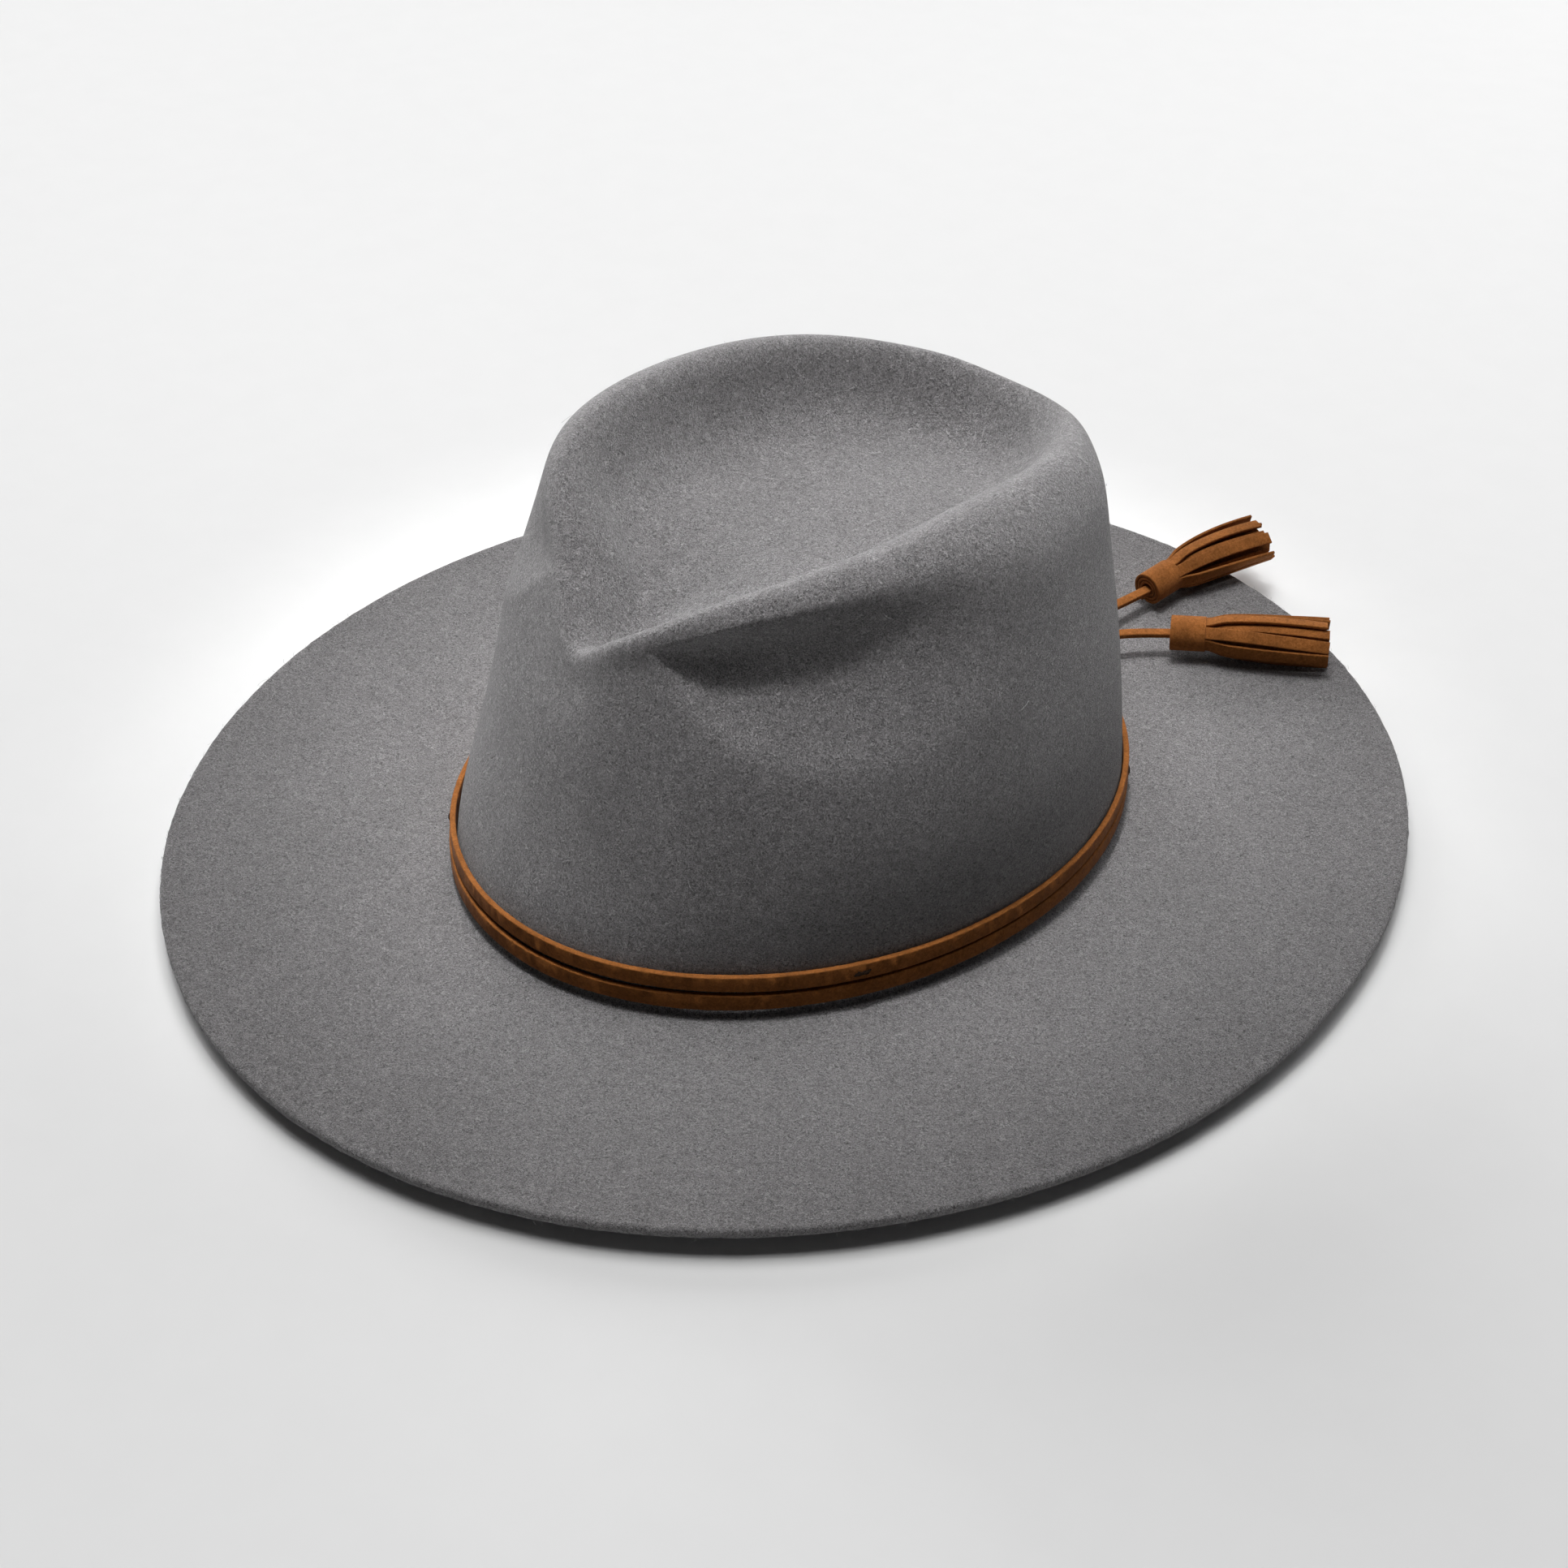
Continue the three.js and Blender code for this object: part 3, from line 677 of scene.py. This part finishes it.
CAP_LENGTH = 11.3
ROLL_START = 1.75
ROLL_PITCH = 1.25
ROLL_END_ANGLE = -2.0
SUEDE_SHEET = 1.05
STRIP_PITCH = 4.4
STRIP_THICKNESS = 0.95
FRINGE_FLATTEN = 0.28
BRIM_REACH = 1.02
TASSELS = {
    "a": {"route": ROUTE_A, "tilts": (-0.3, -0.1), "headings": [(-0.085, 0.99, 0.09), (0.25, 0.95, 0.05)],
          "cap": 6.2, "spread": 3.4, "uneven": 0.11, "seed": 5},
    "b": {"route": ROUTE_B, "tilts": (-0.15, -0.05), "headings": [(0.72, 0.7, 0.05), (0.71, 0.7, 0.02)],
          "cap": 6.4, "spread": 3.3, "uneven": 0.03, "seed": 11},
}


def tassel_frame(route, headings):
    """Centre line of a tassel from its cap to its tips, and the directions across it."""
    start = np.array(route[-1], float)
    count = 60
    part = np.linspace(0, 1, count)[:, None]
    first, last = (unit(np.array(h, float)) for h in headings)
    direction = unit(first * (1 - part) + last * part)
    step = TASSEL_LENGTH / (count - 1)
    centres = start + np.vstack([np.zeros(3), np.cumsum(direction[:-1] * step, axis=0)])
    side = unit(np.cross(direction, [0, 0, 1]))
    rise = np.cross(side, direction)
    return centres, direction, side, rise


def cap_rows(line, cap_radius):
    """The uncut edge of the fringe, rolled up round the lace."""
    centres, direction, side, rise = (values[0] for values in line)
    turns = (cap_radius - SUEDE_SHEET / 2 - ROLL_START) / ROLL_PITCH
    unrolled = np.linspace(0, 2 * np.pi * turns, 180)
    radius = ROLL_START + ROLL_PITCH * unrolled / (2 * np.pi)
    angle = ROLL_END_ANGLE + unrolled - unrolled[-1]
    outward = np.cos(angle)[:, None] * side + np.sin(angle)[:, None] * rise
    middle = centres + direction * (CAP_LENGTH / 2)
    across = np.broadcast_to(direction, outward.shape)
    section = rounded_section(CAP_LENGTH, SUEDE_SHEET, 0.3)
    return sweep(middle + outward * radius[:, None], across, outward, section), angle, radius


def strip_rows(line, angle, radius, reach_share, spread, draws):
    """One cut strip of the fringe, from the cap to its tip, resting on the brim where it meets it."""
    centres, direction, side, rise = line
    start = int(len(centres) * (CAP_LENGTH - 0.5) / TASSEL_LENGTH)
    last = start + int((len(centres) - start) * (1 - draws["short"]))
    picks = np.unique(np.linspace(start, last - 1, 26).astype(int))
    t = ((picks - start) / (len(centres) - start))[:, None]
    turn = angle + draws["turn"] * t
    neck = 0.8 * lobe(t - 0.05, 0.07)
    reach = radius - neck + spread * reach_share * (1 - np.exp(-3.2 * t)) + draws["bow"] * np.sin(np.pi * t)
    out_side = np.cos(turn) * (1 + FRINGE_FLATTEN * t)
    out_rise = np.sin(turn) * (1 - FRINGE_FLATTEN * t)
    points = centres[picks] + side[picks] * (reach * out_side) + rise[picks] * (reach * out_rise)
    over_brim = np.hypot(points[:, 0] / BRIM_HALF_WIDTH, points[:, 1] / BRIM_HALF_LENGTH) < BRIM_REACH
    resting = np.maximum(points[:, 2], brim_top(points[:, 0], points[:, 1]) + STRIP_CLEAR)
    points[:, 2] = np.where(over_brim, resting, points[:, 2])
    outward = unit(np.cos(turn) * side[picks] + np.sin(turn) * rise[picks])
    along = unit(np.gradient(points, axis=0))
    across = unit(np.cross(outward, along))
    twist = draws["twist"] * t
    across_turned = across * np.cos(twist) + outward * np.sin(twist)
    through = unit(np.cross(along, across_turned))
    return sweep(points, across_turned, through, rounded_section(draws["width"], STRIP_THICKNESS, 0.28))


def make_tassel(side_name, line, settings):
    draws = np.random.default_rng(settings["seed"])
    cap_radius = settings["cap"]
    rows, angles, radii = cap_rows(line, cap_radius)
    parts = [pod(rows)]
    arc = np.concatenate([[0], np.cumsum(np.diff(angles) * (radii[1:] + radii[:-1]) / 2)])
    for place in np.arange(STRIP_PITCH / 2, arc[-1], STRIP_PITCH):
        angle = np.interp(place, arc, angles)
        radius = np.interp(place, arc, radii)
        values = {
            "short": draws.uniform(0, settings["uneven"]),
            "turn": draws.normal(0, 0.1),
            "bow": draws.normal(0.35, 0.3),
            "twist": draws.normal(0, 0.35),
            "width": draws.uniform(3.9, 4.35),
        }
        parts.append(pod(strip_rows(line, angle, radius, radius / cap_radius, settings["spread"], values)))
    points, faces = join(parts)
    tassel = make_object(f"suede_tassel_{side_name}", points, faces, SUEDE_LOOK, 50)
    return settle(tassel, f"fringe_{side_name}", "suede", f"tassel_{side_name}")


def make_tails_and_tassels():
    for name, settings in TASSELS.items():
        route = np.array(settings["route"])
        tail, path = make_tail(name, route, settings["tilts"])
        tassel = make_tassel(name, tassel_frame(route, settings["headings"]), settings)
        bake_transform(tail)


# ---------------------------------------------------------------- felt body

def ring_at(t, height, inset, theta):
    """A ring of the brim, t of the way from the break to the edge."""
    half_length = BASE_HALF_LENGTH + BREAK_RADIUS
    half_width = BASE_HALF_WIDTH + BREAK_RADIUS
    length = half_length + (BRIM_HALF_LENGTH - half_length) * t - inset
    width = half_width + (BRIM_HALF_WIDTH - half_width) * t - inset
    return oval(theta, length, width, 0, height)


def break_at(radius, turn, theta):
    """A ring of the rounded break between the crown's wall and the brim."""
    outset = BREAK_RADIUS - radius * math.cos(turn)
    height = WALL_FOOT - radius * math.sin(turn)
    return oval(theta, BASE_HALF_LENGTH + outset, BASE_HALF_WIDTH + outset, 0, height)


def raw_edge(theta):
    """The brim's cut edge, rounded from its lower corner to its upper one and slightly uneven."""
    rings = []
    for i in range(7):
        part = i / 6
        height = BRIM_RISE + FELT * part
        inset = EDGE_ROUND * (1 - math.sqrt(max(0.0, 1 - abs(2 * part - 1) ** 4)))
        rings.append(ring_at(1, height, inset, theta))
    edge = np.array(rings)
    nibble = 0.12 * smooth_noise(8, theta * 41, theta * 97) + 0.07 * smooth_noise(9, theta * 160, theta * 233)
    outward = unit(edge * [1, 1, 0])
    return edge + outward * (nibble[None, :, None] - 0.12)


def make_felt():
    theta = np.linspace(0, 2 * np.pi, FELT_AROUND, endpoint=False)
    stations = np.linspace(0, 1, CROWN_ROWS + 1)[1:-1]
    outer = crown_surface(theta, stations)
    normals = crown_normals(theta, stations)
    ripple = 0.25 * smooth_noise(3, outer[..., 0] / 14, outer[..., 1] / 14, outer[..., 2] / 14)
    outer = outer + normals * ripple[..., None]
    inner = outer - normals * FELT
    turns = np.linspace(0, math.pi / 2, 10)
    brim = np.linspace(REST_RING, 1, 40)[:-1]
    under = [break_at(BREAK_RADIUS + FELT, turn, theta) for turn in turns]
    under += [ring_at(t, brim_lift(t), 0, theta) for t in brim]
    edge = raw_edge(theta)
    over = [ring_at(t, brim_lift(t) + FELT, 0, theta) for t in brim[::-1]]
    over += [break_at(BREAK_RADIUS, turn, theta) for turn in turns[::-1]]
    rows = np.concatenate([inner[::-1], under, edge, over, outer])
    sway = 0.35 * smooth_noise(4, rows[..., 0] / 45, rows[..., 1] / 45)
    beyond = np.hypot(rows[..., 0] / BRIM_HALF_WIDTH, rows[..., 1] / BRIM_HALF_LENGTH)
    rows[..., 2] += sway * np.clip((beyond - 0.7) / 0.3, 0, 1)
    top = crown_surface(np.zeros(1), [1.0])[0, 0]
    points, faces = pod(rows, top - [0, 0, FELT], top)
    felt = make_object("wool_felt_body", points, faces, FELT_LOOK, 60)
    settle(felt, "hat", "felt", "felt_body")


# ---------------------------------------------------------------- lace band

def lace_gap(theta):
    """How far the two turns are moved apart, most at the front left."""
    return 0.075 + 0.625 * lobe(signed_angle(theta - 0.45), 0.85)


def make_lace(name, node, foot, sign, seed):
    """One turn of the lace, moved up when sign is 1 and down when it is -1."""
    theta = np.linspace(0, 2 * np.pi, 900, endpoint=False)
    wander = 0.14 * smooth_noise(seed, np.cos(theta) * 6, np.sin(theta) * 6)
    height = foot + LACE_WIDTH / 2 + sign * lace_gap(theta) / 2 + wander
    outset = LACE_OUTSET - LACE_THICKNESS / 2 + 0.06 * smooth_noise(seed + 1, np.cos(theta) * 9)
    lean = 0.05 * smooth_noise(seed + 2, np.cos(theta) * 5, np.sin(theta) * 7)
    rows = wall_strip(theta, height, outset, LACE_WIDTH - 0.25, LACE_THICKNESS, 0.36, lean, 4)
    rows += 0.035 * np.random.default_rng(seed + 3).normal(0, 1, rows.shape)
    points, faces = hoop(rows)
    settle(make_object(name, points, faces, SUEDE_LOOK, 60), "hat", "suede", node)


def make_band():
    make_lace("lace_turn_upper", "band_lace_upper", UPPER_LOW[2], 1, 31)
    make_lace("lace_turn_lower", "band_lace_lower", LOWER_LOW[2] + 0.1, -1, 37)


def wall_path_strip(theta, height, outset, width, thickness):
    """A strip along any path on the wall, lying flat against it."""
    centres, outward = wall_points(theta, height, outset)
    along = unit(np.gradient(centres, axis=0))
    across = unit(np.cross(outward, along))
    through = np.cross(along, across)
    return sweep(centres, across, through, rounded_section(width, thickness, min(width, thickness) * 0.3, 4))


KNOT_HALF_SPAN = 5.6
KNOT_STRAND = (4.3, 1.15)
KNOT_WRAP = (4.6, 1.1)


def make_knot():
    """The lace's two ends crossed over each other, with a short wrap across the middle."""
    middle = math.pi + math.asin(-(KNOT_LOW[0] + KNOT_HIGH[0]) / 2 / BASE_HALF_WIDTH)
    half = KNOT_HALF_SPAN / BASE_HALF_WIDTH
    centre = (KNOT_LOW[2] + KNOT_HIGH[2]) / 2
    t = np.linspace(-1, 1, 40)
    arch = np.cos(t * math.pi / 2) ** 0.7
    parts = []
    for direction, start_outset, rise in ((1, 2.5, 0.75), (-1, 2.6, 1.5)):
        height = centre + direction * 2.9 * np.sin(t * math.pi / 2) * 0.95
        outset = start_outset + rise * arch
        parts.append(pod(wall_path_strip(middle + half * t, height, outset, *KNOT_STRAND)))
    wrap_height = centre + 5.3 * t
    wrap_outset = 2.4 + 1.95 * np.cos(t * math.pi / 2) ** 0.45
    parts.append(pod(wall_path_strip(middle + 0.012 * t, wrap_height, wrap_outset, *KNOT_WRAP)))
    points, faces = join(parts)
    settle(make_object("lace_knot", points, faces, SUEDE_LOOK, 50), "hat", "suede", "band_knot")


def thread_rows(path, radius, sides=6):
    along = unit(np.gradient(path, axis=0))
    guide = np.where(np.abs(along[:, 2:3]) > 0.8, np.array([[1.0, 0.0, 0.0]]), np.array([[0.0, 0.0, 1.0]]))
    first = unit(np.cross(along, guide))
    second = np.cross(along, first)
    turn = 2 * np.pi * np.arange(sides) / sides
    return path[:, None, :] + radius * (np.cos(turn)[None, :, None] * first[:, None, :]
                                        + np.sin(turn)[None, :, None] * second[:, None, :])


def stitch(theta, height, base_outset, rise, radius, points=7):
    """One thread stitch that arches over a surface between two places on the wall."""
    t = np.linspace(0, 1, points)
    angles = theta[0] + (theta[1] - theta[0]) * t
    heights = height[0] + (height[1] - height[0]) * t
    path, _ = wall_points(angles, heights, base_outset + rise * np.sin(np.pi * t))
    return pod(thread_rows(path, radius))


TACK_CROSSINGS = [
    ((-1.9, 0.7), (-0.45, 0.45)),
    ((-0.6, 1.9), (-0.35, 0.5)),
    ((-1.2, 1.5), (0.5, -0.45)),
    ((-1.7, 1.1), (0.0, 0.15)),
]


def make_tacks():
    """Each tack is a few thread strands: where each starts and ends along the wall, and at what height."""
    for name in ("front_left", "front_right", "back_left", "back_right"):
        low, high = box_mm(f"band_tack_{name}")
        centre = (low + high) / 2
        angle = math.atan2(centre[0] / BASE_HALF_WIDTH, -centre[1] / BASE_HALF_LENGTH)
        step = 1 / BASE_HALF_WIDTH
        strands = []
        for along, heights in TACK_CROSSINGS:
            angles = [angle + a * step for a in along]
            levels = [centre[2] + h for h in heights]
            strands.append(stitch(angles, levels, LACE_OUTSET - 0.1, 0.5, 0.34))
        points, faces = join(strands)
        tack = make_object(f"tack_{name}", points, faces, THREAD_LOOK)
        settle(tack, "hat", "thread", f"band_tack_{name}")


# ---------------------------------------------------------------- sweatband and what is sewn to it

def full_turn(count):
    return np.linspace(0, 2 * np.pi, count, endpoint=False)


def make_sweatband():
    theta = full_turn(480)
    foot, top = SWEAT_LOW[2], SWEAT_HIGH[2]
    thickness = SWEATBAND_THICKNESS
    middle_outset = -(FELT + SWEATBAND_GAP + thickness / 2)
    layers = []
    for height in np.linspace(foot, top, 26):
        wave = 0.22 * smooth_noise(51, theta * 3, height / 12) * (height - foot) / (top - foot)
        layers.append((height, middle_outset + wave))
    inner = [wall_points(theta, height, outset - thickness / 2)[0] for height, outset in layers]
    outer = [wall_points(theta, height, outset + thickness / 2)[0] for height, outset in layers]
    top_outset = layers[-1][1]
    top_round = []
    for turn in (-1.05, 0.0, 1.05):
        height = top + 0.3 * math.cos(turn)
        top_round.append(wall_points(theta, height, top_outset + thickness / 2 * math.sin(turn))[0])
    points, faces = hoop([*inner, *top_round, *outer[::-1]])
    band = make_object("leather_sweatband", points, faces, LEATHER_LOOK)
    settle(band, "hat", "sweatband_leather", "sweatband")


def make_reed():
    low, high = box_mm("sweatband_reed")
    radius = (high[2] - low[2]) / 2
    theta = full_turn(420)
    rows = []
    for turn in 2 * np.pi * np.arange(12) / 12:
        wrap = radius * (1 + 0.05 * np.sin(theta * 140))
        height = (low[2] + high[2]) / 2 + wrap * math.sin(turn)
        rows.append(wall_points(theta, height, REED_OUTSET + wrap * math.cos(turn))[0])
    points, faces = hoop(rows)
    reed = make_object("covered_reed", points, faces, LEATHER_LOOK)
    settle(reed, "hat", "sweatband_leather", "sweatband_reed")


def make_sweatband_stitches():
    count = 150
    pitch = 2 * math.pi / count
    low, high = box_mm("sweatband_thread")
    height = (low[2] + high[2]) / 2
    surface = SWEATBAND_INNER - 0.05
    parts = []
    for i in range(count):
        start = i * pitch
        angles = (start, start + 0.72 * pitch)
        parts.append(stitch(angles, (height - 0.5, height + 0.5), surface, -0.35, 0.25, 6))
    points, faces = join(parts)
    stitches = make_object("sweatband_stitches", points, faces, THREAD_LOOK)
    settle(stitches, "hat", "thread", "sweatband_thread")


def patch_span(node):
    """Angles and heights that a CAD patch covers."""
    low, high = box_mm(node)
    place = (low + high) / 2
    middle = math.atan2(place[0] / BASE_HALF_WIDTH, -place[1] / BASE_HALF_LENGTH)
    return middle % (2 * math.pi), low[2], high[2]


def make_seam_tape():
    middle, foot, top = patch_span("sweatband_seam_tape")
    theta = np.linspace(middle - 6 / BASE_HALF_WIDTH, middle + 6 / BASE_HALF_WIDTH, 25)
    outset = SWEATBAND_INNER - CLEARANCE - TAPE_THICKNESS / 2 + 0.05 * np.cos(np.linspace(-3, 3, 25))
    parts = [pod(wall_strip(theta, (foot + top) / 2, outset, top - foot, TAPE_THICKNESS, 0.25))]
    surface = SWEATBAND_INNER - 1.12
    for side in (-1, 1):
        angle = middle + side * 4.9 / BASE_HALF_WIDTH
        for start in np.arange(foot + 1.2, top - 2, 2.4):
            parts.append(stitch((angle, angle), (start, start + 1.7), surface, -0.2, 0.16, 5))
    points, faces = join(parts)
    tape = make_object("seam_tape", points, faces, LEATHER_LOOK)
    settle(tape, "hat", "sweatband_leather", "sweatband_seam_tape")


BOW_OUTSET = SWEATBAND_INNER - CLEARANCE - TAPE_THICKNESS - 0.6
BOW_ANGLE = math.pi
BOW_DEPTH = 1.9
LOOP_START = 1.9
LOOP_REACH = 13.0


def ribbon_loop_rows(towards, middle_height):
    """A ribbon that goes out from the bow's knot and comes back over itself, crimped where it is narrow."""
    t = np.linspace(0, 1, 46)
    reach = np.sin(np.pi * t) ** 0.75
    theta = BOW_ANGLE + towards * (LOOP_START / BASE_HALF_WIDTH + reach * LOOP_REACH / BASE_HALF_WIDTH)
    outset = BOW_OUTSET - 0.3 - BOW_DEPTH * smoothstep(t)
    centres, _ = wall_points(theta, middle_height, outset)
    along = unit(np.gradient(centres, axis=0))
    across = np.broadcast_to(np.array([0.0, 0.0, 1.0]), along.shape)
    through = unit(np.cross(along, across))
    section = np.array([rounded_section(width, 0.45, 0.18) for width in 4.4 + 6.2 * reach])
    section[..., 1] += 0.12 * np.cos(section[..., 0] * 2.4) * (1 - reach)[:, None]
    return sweep(centres, across, through, section)


def make_bow():
    low, high = box_mm("bow_knot")
    middle_height = (low[2] + high[2]) / 2
    for name, towards in (("left", -1), ("right", 1)):
        points, faces = pod(ribbon_loop_rows(towards, middle_height))
        loop = make_object(f"ribbon_loop_{name}", points, faces, RIBBON_LOOK)
        settle(loop, "hat", "ribbon", f"bow_loop_{name}")
    t = np.linspace(-1, 1, 30)
    height = middle_height + 3.3 * np.sin(t * math.pi / 2)
    outset = BOW_OUTSET - 0.5 - 2.2 * np.cos(t * math.pi / 2) ** 0.6
    points, faces = pod(wall_path_strip(BOW_ANGLE + 0.0005 * t, height, outset, 4.6, 0.8))
    settle(make_object("ribbon_knot", points, faces, RIBBON_LOOK), "hat", "ribbon", "bow_knot")


def make_label(name, node, half_width):
    """A blank woven label with a stitched border."""
    middle, foot, top = patch_span(node)
    theta = np.linspace(middle - half_width / BASE_HALF_WIDTH, middle + half_width / BASE_HALF_WIDTH, 30)
    curl = 0.12 * np.linspace(-1, 1, 30) ** 2
    outset = SWEATBAND_INNER - CLEARANCE - 0.22 - curl
    points, faces = pod(wall_strip(theta, (foot + top) / 2, outset, top - foot, LABEL_THICKNESS, 0.15))
    label = settle(make_object(name, points, faces, LABEL_LOOK), "hat", "label", node)
    parts = []
    inset = 1.1
    face = SWEATBAND_INNER - CLEARANCE - 0.42
    for level in (foot + inset, top - inset):
        for start in np.arange(-half_width + inset, half_width - inset - 0.8, 1.9):
            angles = [middle + (start + d) / BASE_HALF_WIDTH for d in (0, 1.3)]
            parts.append(stitch(angles, (level, level), face, -0.18, 0.14, 5))
    points, faces = join(parts)
    border = make_object(f"{name}_border", points, faces, THREAD_LOOK)
    border.parent = label


def make_inside():
    make_sweatband()
    make_reed()
    make_sweatband_stitches()
    make_seam_tape()
    make_bow()
    make_label("blank_size_label", "size_label", 8.8)
    make_label("blank_care_label", "care_label", 10.8)


# ---------------------------------------------------------------- loose fibres

CROWN_FIBRES = 170
BRIM_FIBRES = 150
EDGE_FIBRES = 900


def fibre(start, normal, draws, length, radius):
    """A fine hair that leaves a surface at a low angle and curls."""
    aside = unit(np.cross(normal, draws.normal(0, 1, 3)))
    bend = unit(np.cross(normal, aside))
    t = np.linspace(0, 1, 9)[:, None]
    lift = draws.uniform(0.1, 0.5)
    curl = draws.normal(0, 0.45)
    path = start + length * (aside * t + bend * curl * t**2 + normal * lift * t * (1.15 - t))
    return pod(thread_rows(path, radius, 4))


def crown_fibres(count, draws):
    turns = draws.uniform(-math.pi, math.pi, count)
    stations = draws.uniform(0.1, 0.95, count)
    parts = []
    for turn, station in zip(turns, stations):
        start = crown_surface(np.array([turn]), [station])[0, 0]
        normal = crown_normals(np.array([turn]), [station])[0, 0]
        parts.append(fibre(start, normal, draws, draws.uniform(1.2, 4.5), 0.045))
    return parts


def brim_fibres(count, draws):
    parts = []
    for _ in range(count):
        turn = draws.uniform(0, 2 * math.pi)
        t = draws.uniform(0.62, 0.995)
        x, y = BRIM_HALF_WIDTH * t * math.sin(turn), -BRIM_HALF_LENGTH * t * math.cos(turn)
        start = np.array([x, y, float(brim_top(x, y))])
        parts.append(fibre(start, np.array([0.0, 0.0, 1.0]), draws, draws.uniform(1.2, 4), 0.045))
    return parts


def edge_fibres(count, draws):
    """Fuzz along the brim's cut edge."""
    parts = []
    for _ in range(count):
        turn = draws.uniform(0, 2 * math.pi)
        outward = unit(np.array([math.sin(turn) / BRIM_HALF_WIDTH, -math.cos(turn) / BRIM_HALF_LENGTH, 0.0]))
        height = BRIM_RISE + draws.choice([0.25, 1.4, 2.55]) + draws.normal(0, 0.15)
        rim = np.array([BRIM_HALF_WIDTH * math.sin(turn), -BRIM_HALF_LENGTH * math.cos(turn), height])
        start = rim - outward * 0.25
        parts.append(fibre(start, outward, draws, draws.uniform(0.5, 1.6), 0.04))
    return parts


def make_fibres():
    draws = np.random.default_rng(FIBRE_SEED)
    points, faces = join([
        *crown_fibres(CROWN_FIBRES, draws),
        *brim_fibres(BRIM_FIBRES, draws),
        *edge_fibres(EDGE_FIBRES, draws),
    ])
    settle(make_object("loose_fibres", points, faces, FIBRE_LOOK), "hat", "felt")


# ---------------------------------------------------------------- stage

FLOOR_HALF = 6.0
FLOOR_HEIGHT = -0.0004
SPOT_RADIUS = 0.15


def make_stage():
    """The floor; its sizes are in metres."""
    mesh = bpy.data.meshes.new("floor")
    corners = [(x * FLOOR_HALF, y * FLOOR_HALF, 0) for x, y in ((-1, -1), (1, -1), (1, 1), (-1, 1))]
    mesh.from_pydata(corners, [], [(0, 1, 2, 3)])
    mesh.materials.append(floor_material())
    floor = bpy.data.objects.new("floor", mesh)
    bpy.context.scene.collection.objects.link(floor)
    floor.location.z = FLOOR_HEIGHT


def aim_light(data, location, target, power):
    """Place a light and point it at its target; places are in metres and power is in watts."""
    data.energy = power
    light = bpy.data.objects.new(data.name, data)
    bpy.context.scene.collection.objects.link(light)
    light.location = location
    light.rotation_euler = (Vector(location) - Vector(target)).to_track_quat("Z", "Y").to_euler()


def area_light(name, location, target, size, power):
    data = bpy.data.lights.new(name, "AREA")
    data.shape = "RECTANGLE"
    data.size, data.size_y = size
    aim_light(data, location, target, power)


def spot_light(name, location, target, degrees, power):
    data = bpy.data.lights.new(name, "SPOT")
    data.spot_size = math.radians(degrees)
    data.spot_blend = 1
    data.shadow_soft_size = SPOT_RADIUS
    aim_light(data, location, target, power)


def make_light():
    world = bpy.data.worlds.new("world")
    world.use_nodes = True
    background = world.node_tree.nodes["Background"]
    background.inputs["Color"].default_value = (1, 1, 1, 1)
    background.inputs["Strength"].default_value = 0.03
    bpy.context.scene.world = world
    area_light("overhead", (-0.22, 0.14, 1.88), (0, 0, 0), (1.3, 1.3), 28)
    area_light("side", (-3, 0.3, 1.2), (0, 0, 0.05), (2.4, 2.0), 68)
    area_light("rear", (-0.1, 1.5, 0.5), (0, 0, 0.05), (0.8, 0.6), 6)
    spot_light("crown_top", (-0.1, 0, 1.15), (-0.028, 0.012, 0.11), 10.6, 200)
    spot_light("crown_left", (-1.3, 0.15, 0.35), (-0.06, 0, 0.07), 8, 30)


make_camera()
make_tails_and_tassels()
make_felt()
make_band()
make_knot()
make_tacks()
make_inside()
make_fibres()
make_stage()
make_light()
bpy.context.scene.view_settings.view_transform = "Standard"
